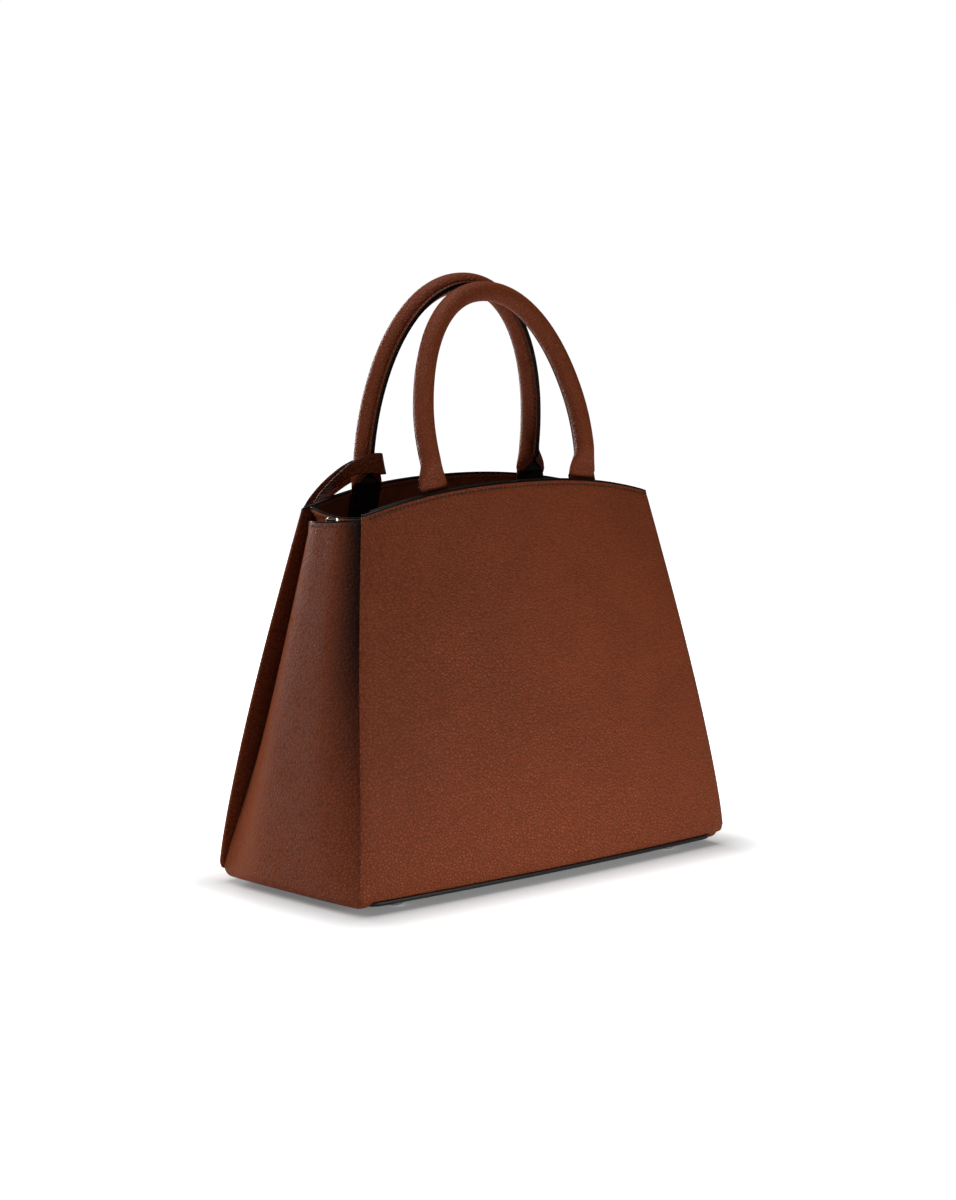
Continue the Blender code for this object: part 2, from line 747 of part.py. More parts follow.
def strap_route(centre, across, up, start):
    """Strap from the loop's left side, over the rear rim and down behind the panel.

    Its points lie left of the loop and above the rim by shares of the strap's width; a smooth
    curve is read between them. The strap turns from standing on edge to lying flat.
    """
    _, y, z = handle_foot()
    behind = face_bow + face_bulge + 2 * strap_thickness
    outside = y + panel_thickness + facing_thickness + anchor_thickness
    over = outside + behind
    rim = z - pivot_above_rim
    x = centre[0] - start - strap_left_shares * strap_width
    away = np.array([outside, over, over + strap_thickness, over + strap_thickness])
    ahead = centre - across * (start + strap_start_share * strap_width)
    knots = np.vstack([centre - across * start, ahead + (0, strap_thickness / 2, 0),
                       np.column_stack([x, away, rim + strap_up_shares * strap_width])])
    chord = np.concatenate([[0], np.cumsum(np.linalg.norm(np.diff(knots, axis=0), axis=1))])
    places = np.linspace(0, chord[-1], 15)
    path = np.stack([smooth(chord, knots[:, k], places) for k in range(3)], axis=-1)
    turn = np.clip(places / chord[3], 0, 1)[:, None] * math.pi / 2
    upright = up * np.cos(turn) + np.array([-1, 0, 0]) * np.sin(turn)
    heading = np.gradient(path, axis=0)
    heading /= np.linalg.norm(heading, axis=1)[:, None]
    upright = upright - heading * np.sum(upright * heading, axis=1)[:, None]
    return path, upright / np.linalg.norm(upright, axis=1)[:, None]


def smooth(knots, values, places):
    """Cubic curve through the values, with each slope taken from its neighbours."""
    slopes = np.gradient(values, knots)
    k = np.clip(np.searchsorted(knots, places, side='right') - 1, 0, len(knots) - 2)
    span = knots[k + 1] - knots[k]
    t = (places - knots[k]) / span
    return ((2 * t ** 3 - 3 * t ** 2 + 1) * values[k] + (t ** 3 - 2 * t ** 2 + t) * span * slopes[k]
            + (3 * t ** 2 - 2 * t ** 3) * values[k + 1] + (t ** 3 - t ** 2) * span * slopes[k + 1])


def make_snap():
    """Magnetic snap: a socket on the rear facing and a stud on the front one."""
    z = corner_height + rim_rise - snap_drop
    s = share_at(0, z)
    depth = panel_thickness + facing_thickness + 2 * clearance
    low, high = surface(np.array(0), np.array(s - snap_radius / body_height), depth), surface(
        np.array(0), np.array(s + snap_radius / body_height), depth)
    lean = math.atan2(low[1] - high[1], high[2] - low[2])
    y = (low[1] + high[1]) / 2
    post = [(snap_radius, 0), (snap_radius, snap_thickness), (stud_radius, snap_thickness),
            (stud_radius, snap_thickness + stud_height)]
    bore = stud_radius + clearance
    socket = [(snap_radius, 0), (snap_radius, snap_thickness), (bore, snap_thickness),
              (bore, snap_thickness - socket_depth)]
    turned("snap_post", post, (0, -y, z), metal, tilt=-math.pi / 2 - lean)
    turned("snap_socket", socket, (0, y, z), metal, tilt=math.pi / 2 + lean)


def zip_frame():
    """Plane of the zip on the rear lining: its height, Y there, and Y's slope with height."""
    low, high = (share_at(zip_half_length, zip_height + k * tape_half_height) for k in (-1, 1))
    ends = surface(np.full(2, zip_half_length), np.array([low, high]), inner_depth + clearance)
    slope = (ends[1, 1] - ends[0, 1]) / (ends[1, 2] - ends[0, 2])
    return float(ends[:, 1].mean()), float(slope)


def zip_plate(name, half_length, half_height, front, thickness, look, x=0.0, z=0.0, parent=None):
    """Flat plate in the zip's plane, a given distance in front of the tape's back."""
    y, slope = zip_frame()
    outline = np.array([(-1, -1), (1, -1), (1, 1), (-1, 1)]) * (half_length, half_height) + (x, z)
    rings = []
    for depth in (front, front + thickness):
        rings.append(np.column_stack([outline[:, 0], y + slope * outline[:, 1] - depth,
                                      outline[:, 1] + zip_height]))
    return loft(name, rings, look, parent)


def make_zip_pocket():
    """Pocket behind the rear lining: pouch, tape, chain, slider and puller."""
    y = zip_frame()[0]
    high = share_at(0, zip_height + tape_half_height)
    low = share_at(0, zip_height + tape_half_height - pouch_depth)
    layer("zip_pocket_pouch", 1, lambda s: pouch_half_width, low, high,
          panel_thickness + stiffener_thickness + 2 * clearance, pouch_thickness, fabric)
    zip_plate("zip_tape", zip_half_length, tape_half_height, 0, tape_thickness, dark_leather)
    chain_front = tape_thickness + clearance
    zip_plate("zip_chain", zip_half_length - slider_half_length, chain_half_height, chain_front,
              chain_thickness, metal)
    slider_front = chain_front + chain_thickness + clearance
    start = zip_half_length - 3 * slider_half_length
    slide = pivot("zip_slide", (start, y - slider_front, zip_height))
    make_slider(start, slider_front, slide)
    flip_place = (start, y - slider_front - slider_thickness - crown_length / 2, zip_height)
    flip = pivot("zip_puller_hinge", flip_place, slide)
    make_puller(start, slider_front + slider_thickness + clearance, flip)


def make_slider(x, front, parent):
    """Slider body with a round post that carries the puller's eye."""
    y, slope = zip_frame()
    half = np.array([slider_half_length, slider_half_height])
    post = circle(crown_radius, washer_count)
    box = post / np.max(np.abs(post) / half, axis=1)[:, None]
    rings = []
    for outline, depth in ((box, 0), (box, slider_thickness), (post, slider_thickness),
                           (post, slider_thickness + crown_length)):
        rings.append(np.column_stack([outline[:, 0] + x, y + slope * outline[:, 1] - front - depth,
                                      outline[:, 1] + zip_height]))
    loft("zip_slider", rings, metal, parent)


def make_puller(x, front, parent):
    """Flat pull tab that hangs from its eye on the slider's post."""
    y, slope = zip_frame()
    eye = circle(crown_radius + clearance, tongue_count)
    outline = circle(puller_half_width, tongue_count)
    lower = outline[:, 1] < -clearance
    outline[lower, 1] -= puller_length - puller_half_width
    rings = []
    for loop, depth in ((eye, 0), (outline, 0), (outline, puller_thickness),
                        (eye, puller_thickness)):
        rings.append(np.column_stack([loop[:, 0] + x, y + slope * loop[:, 1] - front - depth,
                                      loop[:, 1] + zip_height]))
    loft("zip_puller", rings, metal, parent, closed=True)


def make_slip_pocket():
    low = share_at(0, slip_bottom)
    high = share_at(0, slip_bottom + slip_height)
    layer("slip_pocket", -1, lambda s: slip_half_width, low, high, inner_depth + clearance,
          slip_thickness, fabric)


def main():
    clear_scene()
    make_panels()
    make_gussets()
    make_bottom()
    make_anchors()
    make_handle("front", -1, front_lean)
    rear_hinge = make_handle("rear", 1, rear_lean)
    make_rings()
    make_tag(rear_hinge)
    make_snap()
    make_zip_pocket()
    make_slip_pocket()


main()
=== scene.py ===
"""Looks of a leather handbag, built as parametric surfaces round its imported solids."""

import itertools
import json
import math

import bpy
import numpy as np
from bpy.props import FloatProperty, FloatVectorProperty, PointerProperty
from mathutils import Matrix, Vector


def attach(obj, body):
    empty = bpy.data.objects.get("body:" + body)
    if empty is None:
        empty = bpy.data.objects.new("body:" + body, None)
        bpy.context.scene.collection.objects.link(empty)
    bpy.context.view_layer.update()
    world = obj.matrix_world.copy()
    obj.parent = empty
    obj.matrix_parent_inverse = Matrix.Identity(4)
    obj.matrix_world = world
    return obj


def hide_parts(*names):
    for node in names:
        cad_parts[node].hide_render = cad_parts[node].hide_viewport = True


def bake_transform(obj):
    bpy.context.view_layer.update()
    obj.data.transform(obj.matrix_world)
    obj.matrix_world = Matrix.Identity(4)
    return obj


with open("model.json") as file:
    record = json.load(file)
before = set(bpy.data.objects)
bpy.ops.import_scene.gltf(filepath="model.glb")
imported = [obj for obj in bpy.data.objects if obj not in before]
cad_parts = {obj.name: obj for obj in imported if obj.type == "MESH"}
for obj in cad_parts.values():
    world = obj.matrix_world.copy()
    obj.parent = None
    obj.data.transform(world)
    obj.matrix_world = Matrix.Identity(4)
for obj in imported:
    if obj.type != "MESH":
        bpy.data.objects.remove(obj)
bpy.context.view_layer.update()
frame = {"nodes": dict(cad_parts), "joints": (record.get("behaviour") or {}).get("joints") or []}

bl_info = {
    "name": "Handbag",
    "version": (1, 0, 0),
    "blender": (4, 5, 0),
    "location": "3D View > Sidebar > Handbag",
    "description": "Leather handbag with two rolled handles, round its packed solids",
    "category": "Object",
}

mm = 0.001
PANELS = (("front", -1), ("rear", 1))       # and their side along Y
ENDS = (("left", -1), ("right", 1))         # and their side along X
BOTTOM = 3 * mm             # thickness of the bottom panel
FLARE_REACH = 8 * mm        # way below the rim over which a band stands out
EDGE_TURN = 0.6 * mm        # way over which a handle's leather is rounded at its edge
PLY_GAP = 0.85 * mm         # half the way between a handle seam's two plies
RING_TAB = 12 * mm          # length of the leather loops on the strap rings
ZIP_HALF = 78 * mm          # half the length of the zip's tape
TAPE_HALF = 8 * mm          # half the width of the zip's tape
TOOTH_DEPTH = 1.5 * mm      # how far the zip's teeth stand out
SLIDER_DEPTH = 2.2 * mm     # thickness of the zip's slider
NEAREST = 0.02 * mm         # grid lines closer than this are one
BEND_STEPS = 7              # grid lines over a rounded edge
RIM_POWER = 2.6             # roundness of a cut edge at the rim
PAINT_END = 1.25            # where the edge paint has run out, against its depth
STITCH_SLANT = 0.22         # turn of a stitch against its line
STRAP_PAINT = (0.5 * mm, 0.2 * mm)      # reach and fade of the edge paint on the tag's strap
CORNER_SHARES = (0.45, 0.62, 0.8, 1.0, 1.3)     # grid lines round a panel's lower corners
BLACK, WHITE = (0.0, 0.0, 0.0), (1.0, 1.0, 1.0)
LAMPS = {       # place, aim, width and height in metres; the stage holds each one's power
    "top": ((0, 0.1, 1.5), (0, 0, 0), 1.1, 1.1),
    "left": ((-1.0, 0.0, 1.3), (0, 0, 0.14), 0.7, 0.7),
    "rear": ((0.15, 1.5, 0.45), (0, 0, 0.15), 0.9, 0.8),
    "low_front": ((0.02, -0.40, 0.06), (0, 0, 0.03), 0.36, 0.10),
    "low_side": ((-0.45, 0.18, 0.07), (-0.15, 0, 0.04), 0.30, 0.10)}


def length(name, default, description):
    return FloatProperty(name=name, default=default, description=description, min=0.0,
                         subtype='DISTANCE', unit='LENGTH', precision=4)


def shift(name, default, description):
    return FloatProperty(name=name, default=default, description=description,
                         subtype='DISTANCE', unit='LENGTH', precision=4)


def share(name, default, description, low=0.0, high=1.0):
    return FloatProperty(name=name, default=default, description=description, min=low, max=high)


def power(name, default, description):
    return FloatProperty(name=name, default=default, description=description, unit='POWER')


def degrees(name, default, description):
    return FloatProperty(name=name, default=math.radians(default), description=description,
                         subtype='ANGLE')


def colour(name, default, description):
    return FloatVectorProperty(name=name, default=default, description=description, size=3,
                               min=0.0, max=1.0, subtype='COLOR')


class HandbagBody(bpy.types.PropertyGroup):
    """Sizes of the bag's body."""

    base_width: length("Base width", 321 * mm, "Width across the bottom edge")
    base_depth: length("Base depth", 136 * mm, "Depth across the bottom edge")
    mouth_width: length("Mouth width", 247 * mm, "Width at the rim")
    mouth_depth: length("Mouth depth", 60 * mm, "Depth at the rim")
    corner_height: length("Corner height", 237 * mm, "Height of the rim at its corners")
    rim_rise: length("Rim rise", 14 * mm, "Rise of the rim in its middle")
    rim_power: share("Rim power", 2.3, "How flat the middle of the rim is", 1, 6)
    face_bulge: length("Belly", 4.5 * mm, "Swelling of a panel low down")
    face_bow: length("Bow", 5.5 * mm, "Bow of a panel across its width")
    side_bulge: length("Side curve", 3 * mm, "Outward curve of a panel's upright edges")
    clearance: length("Clearance", 0.3 * mm, "Gap between neighbouring pieces")
    seat: length("Bottom height", 8 * mm, "Height of the bottom panel's upper face")
    panel: length("Panel thickness", 3 * mm, "Thickness of the leather panels")
    corner: length("Corner radius", 5 * mm, "Radius of a panel's lower corners")
    roll: length("Border roll", 1.5 * mm, "How far a panel's border rolls inwards")
    roll_reach: length("Roll width", 8 * mm, "Width of the rolled border")
    facing: length("Facing thickness", 1.2 * mm, "Thickness of the facing")
    facing_height: length("Facing height", 34 * mm, "Height of the facing")
    lining: length("Lining thickness", 0.8 * mm, "Thickness of the lining cloth")
    lining_depth: length("Lining depth", 6.5 * mm, "Depth of the lining's inner face in a panel")
    rim_edge: length("Painted edge", 1.1 * mm, "Depth of the edge paint on the rim")
    stitch_drop: length("Stitch drop", 3.4 * mm, "Way from the rim down to its stitches")


class HandbagGusset(bpy.types.PropertyGroup):
    """Sizes of the side gussets and their bands."""

    thickness: length("Thickness", 2.2 * mm, "Thickness of the gusset leather")
    bulge: length("Bulge", 2.6 * mm, "Swelling of the gusset's middle at the rim")
    power: share("Fold sharpness", 4.0, "How suddenly the gusset turns in", 1, 12)
    tuck_bottom: length("Tuck at bottom", 1.5 * mm, "Way of the edge inside the panel's edge")
    tuck_middle: length("Tuck in middle", 20 * mm, "Way of the edge inside the panel's edge")
    tuck_top: length("Tuck at top", 13 * mm, "Way of the edge inside the panel's edge")
    tuck_rim: length("Tuck at rim", 4.5 * mm, "Way of the edge inside the panel's edge")
    groove: share("Front groove", 1.5, "Tuck at the front edge against that at the rear", 0, 3)
    tuck_share: share("Tuck height", 0.55, "Height share where the middle tuck is given")
    release_share: share("Release height", 0.93, "Height share above which the tuck runs out")
    drop: length("Drop", 4.5 * mm, "Way from the corner height down to the gusset's ends")
    dip: length("Dip", 1.5 * mm, "Extra dip of the gusset's top in the middle")
    tilt: length("Tilt", 2.8 * mm, "How far the gusset's top falls towards the rear")
    band: length("Band thickness", 1.2 * mm, "Thickness of the inner band")
    band_height: length("Band height", 30 * mm, "Height of the inner band")
    band_dip: length("Band dip", 3 * mm, "Dip of the band's top in the middle")
    band_tilt: shift("Band tilt", -1.4 * mm, "How far the band's top falls towards the rear")
    flare: length("Flare", 5.5 * mm, "How far the band's rear end stands out at the rim")
    band_corner: length("Band corner", 4 * mm, "Radius of the band's turn onto the facings")
    slot: length("Slot", 4.4 * mm, "Gap between the gusset and its band")
    ring_drop: length("Ring drop", 8 * mm, "Way from the gusset's top down to the ring's bar")
    fold: length("Fold radius", 3.2 * mm, "Radius of the fold under the gusset's bottom edge")
    flap: length("Flap", 4 * mm, "Width of the flap folded under the bag")


class HandbagHandle(bpy.types.PropertyGroup):
    """Sizes of the rolled handles."""

    front_span: length("Front half span", 69.5 * mm, "Half the width of the front handle")
    rear_span: length("Rear half span", 73 * mm, "Half the width of the rear handle")
    front_rise: length("Front rise", 120.8 * mm, "Height of the front handle above its hinge")
    rear_rise: length("Rear rise", 124.2 * mm, "Height of the rear handle above its hinge")
    rise_power: share("Rise power", 2.4, "Roundness of the arch upwards", 1, 6)
    span_power: share("Span power", 2.1, "Roundness of the arch sideways", 1, 6)
    front_tuck: length("Front tuck", 4.8 * mm, "How far the front handle's feet are drawn in")
    rear_tuck: length("Rear tuck", 1.4 * mm, "How far the rear handle's feet are drawn in")
    tuck_share: share("Tuck share", 0.42, "Share of the rise over which they are drawn in")
    radius: length("Radius", 6.3 * mm, "Radius of the rolled tube")
    wall: length("Wall", 1.4 * mm, "Thickness of its leather")
    seam: length("Seam height", 2.6 * mm, "How far the stitched seam stands up")
    front_lean: degrees("Front lean", 13.9, "Lean of the front handle towards the middle")
    rear_lean: degrees("Rear lean", 6.8, "Lean of the rear handle towards the middle")
    wall_lean: degrees("Wall lean", 10.5, "Lean of the panels below the rim")
    set_out: length("Set out", 3.8 * mm, "How far the handles stand outside their feet")
    foot: length("Foot length", 18 * mm, "Length over which a foot turns from flat to round")
    foot_width: length("Foot half width", 11.2 * mm, "Half the width of a flat front foot")
    rear_foot_width: length("Rear foot half width", 12.4 * mm,
                            "Half the width of a flat rear foot")
    foot_depth: length("Foot half thickness", 3.2 * mm, "Half the thickness of a flat foot")
    foot_depth_in: length("Foot depth", 6 * mm, "Depth of a foot's middle behind the panel's face")
    above_rim: length("Hinge height", 4 * mm, "Height of the hinge above the rim")
    opening: length("Opening height", 5.5 * mm, "Where the seam opens above the hinge")
    tab_drop: length("Tab drop", 24 * mm, "How far the sewn tab reaches below the rim")


class HandbagTrim(bpy.types.PropertyGroup):
    """Sizes of stitches, rings, feet, snap, zip and tag."""

    pitch: length("Stitch pitch", 3.3 * mm, "Way from stitch to stitch")
    stitch: length("Stitch length", 2.3 * mm, "Length of a stitch")
    thread: length("Thread radius", 0.42 * mm, "Radius of the thread")
    ring_wire: length("Ring wire", 1.3 * mm, "Radius of the strap rings' wire")
    ring_width: length("Ring half width", 6.4 * mm, "Half the width of a strap ring")
    ring_rise: length("Ring rise", 9 * mm, "Height of a strap ring between its bars")
    ring_corner: length("Ring corner", 2.4 * mm, "Corner radius of a strap ring")
    foot_radius: length("Foot radius", 5.5 * mm, "Radius of a metal foot")
    foot_x: length("Foot place across", 120 * mm, "Way of a metal foot from the middle")
    foot_y: length("Foot place along", 54 * mm, "Way of a metal foot from the middle")
    tag_width: length("Tag width", 28 * mm, "Width of the hang tag")
    tag_length: length("Tag length", 50 * mm, "Length of the hang tag")
    tooth_pitch: length("Tooth pitch", 1.6 * mm, "Way from tooth to tooth of the zip")


class HandbagLook(bpy.types.PropertyGroup):
    """Colours of the leathers, cloth and metal, and the grain's size."""

    leather: colour("Leather", (0.205, 0.0445, 0.0143), "Grained leather")
    # The facing is a lighter leather than the outside, and its colour is raised further as painted
    # light, to make up for the shade inside the bag.
    facing: colour("Facing", (0.30, 0.08, 0.028), "Smooth leather of facings and bands")
    paint: colour("Edge paint", (0.006, 0.0036, 0.003), "Paint on the cut edges")
    backing: colour("Backing", (0.012, 0.009, 0.008), "Black leather")
    thread: colour("Thread", (0.014, 0.0055, 0.003), "Sewing thread")
    cloth: colour("Lining", (0.115, 0.068, 0.042), "Lining cloth")
    tape: colour("Zip tape", (0.035, 0.018, 0.012), "Woven tape of the zip")
    board: colour("Board", (0.30, 0.26, 0.21), "Stiffener board")
    steel: colour("Steel", (0.74, 0.73, 0.71), "Plated metal")
    grain: length("Grain", 2.2 * mm, "Width of a pebble of the grain")


class HandbagStage(bpy.types.PropertyGroup):
    """The floor, the lamps and the camera."""

    world: share("World", 0.08, "Light from the camera's side")
    sweep: share("Sweep", 0.04, "Light from the white sweep behind")
    top: power("Top", 10.5, "Power of the top lamp")
    left: power("Left", 4.5, "Power of the high lamp on the left")
    rear: power("Rear", 20.0, "Power of the lamp right behind")
    low_front: power("Low front", 0.8, "Power of the low lamp in front")
    low_side: power("Low side", 0.2, "Power of the low lamp beside the bag")
    distance: length("Distance", 1.9278, "Way from the camera to its target")
    azimuth: degrees("Azimuth", 42.93, "How far the camera stands left of the front")
    elevation: degrees("Elevation", 7.45, "How far the camera looks down")
    roll: degrees("Roll", 0.07, "Turn of the camera about its own line")
    lens: FloatProperty(name="Lens", default=90.0, description="Focal length in millimetres")


def body():
    return bpy.context.scene.handbag_body


def gusset():
    return bpy.context.scene.handbag_gusset


def handle():
    return bpy.context.scene.handbag_handle


def trim():
    return bpy.context.scene.handbag_trim


def looks():
    return bpy.context.scene.handbag_look


def stage():
    return bpy.context.scene.handbag_stage


class Value:
    """A node's output; Python's operators on it add Math nodes, also in their reflected forms."""

    def __init__(self, shade, socket):
        self.shade, self.socket = shade, socket

    def __add__(self, other):
        return self.shade.maths('ADD', self, other)

    def __sub__(self, other):
        return self.shade.maths('SUBTRACT', self, other)

    def __rsub__(self, other):
        return self.shade.maths('SUBTRACT', other, self)

    def __mul__(self, other):
        return self.shade.maths('MULTIPLY', self, other)

    __radd__, __rmul__ = __add__, __mul__


class Shade:
    """Builds the node tree of a material or of the world."""

    def __init__(self, owner):
        self.owner = owner
        owner.use_nodes = True
        self.tree = owner.node_tree
        self.tree.nodes.clear()

    def node(self, kind, settings=(), output=0, **values):
        """A node with its settings, then values or links for its sockets, named or numbered."""
        made = self.tree.nodes.new("ShaderNode" + kind)
        for key, value in dict(settings).items():
            setattr(made, key, value)
        for key, value in values.items():
            spot = int(key[1:]) if key[0] == "_" else key.replace("_", " ")
            if isinstance(value, Value):
                self.tree.links.new(value.socket, made.inputs[spot])
            else:
                made.inputs[spot].default_value = value
        return Value(self, made.outputs[output])

    def maths(self, operation, *values, kind="Math", output=0):
        return self.node(kind, {"operation": operation}, output,
                         **{f"_{k}": value for k, value in enumerate(values)})

    def ramp(self, value, low, high, start=0.0, end=1.0):
        """Smooth way from start to end while a value goes from low to high."""
        return self.node("MapRange", {"interpolation_type": 'SMOOTHSTEP'}, Value=value,
                         From_Min=low, From_Max=high, To_Min=start, To_Max=end)

    def blend(self, factor, first, second):
        """Colour mixed from first to second."""
        def whole(value):
            return value if isinstance(value, Value) else (*value, 1.0)
        return self.node("Mix", {"data_type": 'RGBA'}, output=2, _0=factor, _6=whole(first),
                         _7=whole(second))

    def place(self, scale=(1.0, 1.0, 1.0)):
        """Object coordinates, stretched."""
        return self.node("Mapping", Vector=self.node("TexCoord", output=3), Scale=scale)

    def split(self, place):
        """The three coordinates of a place."""
        made = self.node("SeparateXYZ", Vector=place).socket.node
        return [Value(self, socket) for socket in made.outputs]

    def attribute(self, name):
        return self.node("Attribute", {"attribute_name": name}, output=2)

    def noise(self, place, scale, detail=2.0):
        return self.node("TexNoise", Vector=place, Scale=scale, Detail=detail)

    def bump(self, height, distance):
        return self.node("Bump", Height=height, Distance=distance)

    def seen(self):
        """1 on rays from the camera and through glass, otherwise 0."""
        rays = [self.node("LightPath", output=f"Is {kind} Ray")
                for kind in ("Camera", "Transmission")]
        return self.maths('MAXIMUM', *rays)

    def close(self, shader):
        """Lead a shader to the tree's output; gives the material or the world back."""
        end = self.tree.nodes.new("ShaderNodeOutput" + type(self.owner).__name__)
        self.tree.links.new(shader.socket, end.inputs["Surface"])
        return self.owner

    def finish(self, base, rough, relief, **constants):
        """Principled shader with linked colour, roughness and normal, and constant sockets."""
        return self.close(self.node("BsdfPrincipled", Base_Color=base, Roughness=rough,
                                    Normal=relief, **constants))


materials = {}


def lit(tint, factor):
    """A colour made lighter or darker, up to white."""
    return [min(1.0, v * factor) for v in tint]


def grained_leather():
    """Pebbles: domes from the distance to Voronoi points, creased along the cell edges.

    Noise warps the cells, and the grain is flatter towards the top right, as on a pulled hide.
    The attribute fold paints shade into a groove above 0 and a highlight onto a crest below 0.
    """
    look = looks()
    leather = look.leather
    shade = Shade(bpy.data.materials.new("grained_leather"))
    spot = shade.place(scale=(1.0, 1.0, 1.15))
    warp = shade.node("TexNoise", output=1, Vector=spot, Scale=240.0, Detail=2.0)
    warped = shade.maths('MULTIPLY_ADD', warp, (look.grain,) * 3, spot, kind="VectorMath")
    edges, middles = (shade.node("TexVoronoi", {"feature": feature}, Vector=warped,
                                 Scale=1 / look.grain) for feature in ('DISTANCE_TO_EDGE', 'F1'))
    crease, dome = shade.ramp(edges, 0.0, 0.2), shade.ramp(middles, 0.65, 0.1)
    fine = shade.noise(spot, 2.2 / look.grain, 3.0)
    across, _, upward = shade.split(spot)
    strength = shade.ramp(upward + across * 0.9, 0.08, 0.32, 1.0, 0.5)
    height = (crease * 0.45 + dome * 0.35 + fine * 0.2) * strength
    large, patch = shade.noise(spot, 22.0), shade.noise(spot, 90.0, 3.0)
    paint, fold = shade.attribute("paint"), shade.attribute("fold")
    tone = shade.blend(shade.ramp(large, 0.3, 0.7), lit(leather, 0.94), lit(leather, 1.06))
    # Painted light: the first layer makes the leather lighter below 0.12 m, standing in for light
    # thrown up from the floor.
    layers = ((shade.ramp(upward, 0.0, 0.12, 1.0, 0.0), 1.28),
              # Painted shade darkens the pebbles' creases and a painted highlight lightens their
              # tops, besides their bump.
              ((1 - crease) * strength * 0.6, 0.42), (dome * strength * 0.25, 1.6), (fold, 0.06))
    for cover, lift in layers:
        tone = shade.blend(cover, tone, lit(leather, lift))
    # Painted highlight: where fold is below 0 the crest is made lighter and paler, standing in for
    # sheen.
    painted_highlight = [v * lift for v, lift in zip(leather, (1.5, 1.7, 2.0))]
    tone = shade.blend(fold * -1, tone, painted_highlight)
    rough = shade.ramp(patch, 0.3, 0.7, 0.44, 0.52) - paint * 0.18
    return shade.finish(shade.blend(paint, tone, look.paint), rough,
                        shade.bump(height * (1 - paint), 0.65 * mm), Specular_IOR_Level=0.13)


def smooth_leather(name, tint, low, high, depth):
    """Close-grained leather: fine pores and slow tone changes."""
    shade = Shade(bpy.data.materials.new(name))
    spot = shade.place()
    pores = shade.node("TexVoronoi", {"feature": 'F1'}, Vector=spot, Scale=2600.0)
    large, grain = shade.noise(spot, 35.0, 3.0), shade.noise(spot, 900.0, 4.0)
    paint = shade.attribute("paint")
    tone = shade.blend(shade.ramp(large, 0.3, 0.7), lit(tint, 0.86), lit(tint, 1.12))
    tone = shade.blend(shade.ramp(pores, 0.25, 0.0) * 0.25, tone, lit(tint, 0.5))
    rough = shade.ramp(grain, 0.35, 0.65, low, high) - paint * 0.1
    relief = shade.bump((grain * 0.6 + pores * 0.4) * (1 - paint), depth)
    return shade.finish(shade.blend(paint, tone, looks().paint), rough, relief,
                        Specular_IOR_Level=0.25)


def twill(name, tint, along, pitch, depth):
    """Diagonal ribs from a sine of the slanted way, crossed by a finer sine of the threads."""
    shade = Shade(bpy.data.materials.new(name))
    spot = shade.node("TexCoord", output=3)
    x, y, z = shade.split(spot)
    run = x + y
    rib = shade.maths('SINE', (run * along + z) * (math.tau / pitch)) * 0.5 + 0.5
    yarn = shade.maths('SINE', (run - z * 0.4) * (math.tau * 2.1 / pitch)) * 0.5 + 0.5
    weave = rib * 0.7 + yarn * 0.3
    soil = shade.noise(spot, 40.0, 3.0)
    tone = shade.blend(weave, lit(tint, 0.62), lit(tint, 1.18))
    tone = shade.blend(shade.ramp(soil, 0.35, 0.75) * 0.2, tone, lit(tint, 0.8))
    return shade.finish(tone, shade.ramp(weave, 0.0, 1.0, 0.88, 0.72), shade.bump(weave, depth),
                        Sheen_Weight=0.15, Sheen_Roughness=0.4)


def metal(name, tint, low, high, scratch):
    """Plated metal: fine brushed streaks and a few soft scuffs in its roughness."""
    shade = Shade(bpy.data.materials.new(name))
    streak = shade.noise(shade.place(scale=(1.0, 1.0, 9.0)), 700.0, 3.0)
    scuff = shade.noise(shade.place(), 260.0, 3.0)
    rough = shade.ramp(streak, 0.3, 0.7, low, high) + shade.ramp(scuff, 0.6, 0.8) * 0.08
    tone = shade.blend(shade.ramp(scuff, 0.55, 0.85), tint, lit(tint, 0.82))
    return shade.finish(tone, rough, shade.bump(streak, scratch), Metallic=1.0)


def board_stock():
    """Pressed fibre: mottled noise with short fibres."""
    tint = looks().board
    shade = Shade(bpy.data.materials.new("board_stock"))
    fibre = shade.noise(shade.place(scale=(1.0, 1.0, 6.0)), 500.0, 4.0)
    tone = shade.blend(fibre, lit(tint, 0.7), lit(tint, 1.2))
    return shade.finish(tone, shade.ramp(fibre, 0.3, 0.7, 0.85, 0.95),
                        shade.bump(fibre, 0.1 * mm))


def strands(name, dark, light, scale, distortion, rough, depth):
    """Twisted plies, as in cord and thread: slanted bands of dark and light."""
    shade = Shade(bpy.data.materials.new(name))
    ply = shade.node("TexWave", {"wave_type": 'BANDS', "bands_direction": 'DIAGONAL'},
                     output=1, Vector=shade.place(), Scale=scale, Distortion=distortion)
    return shade.finish(shade.blend(ply, dark, light), shade.ramp(ply, 0.0, 1.0, *rough),
                        shade.bump(ply, depth))


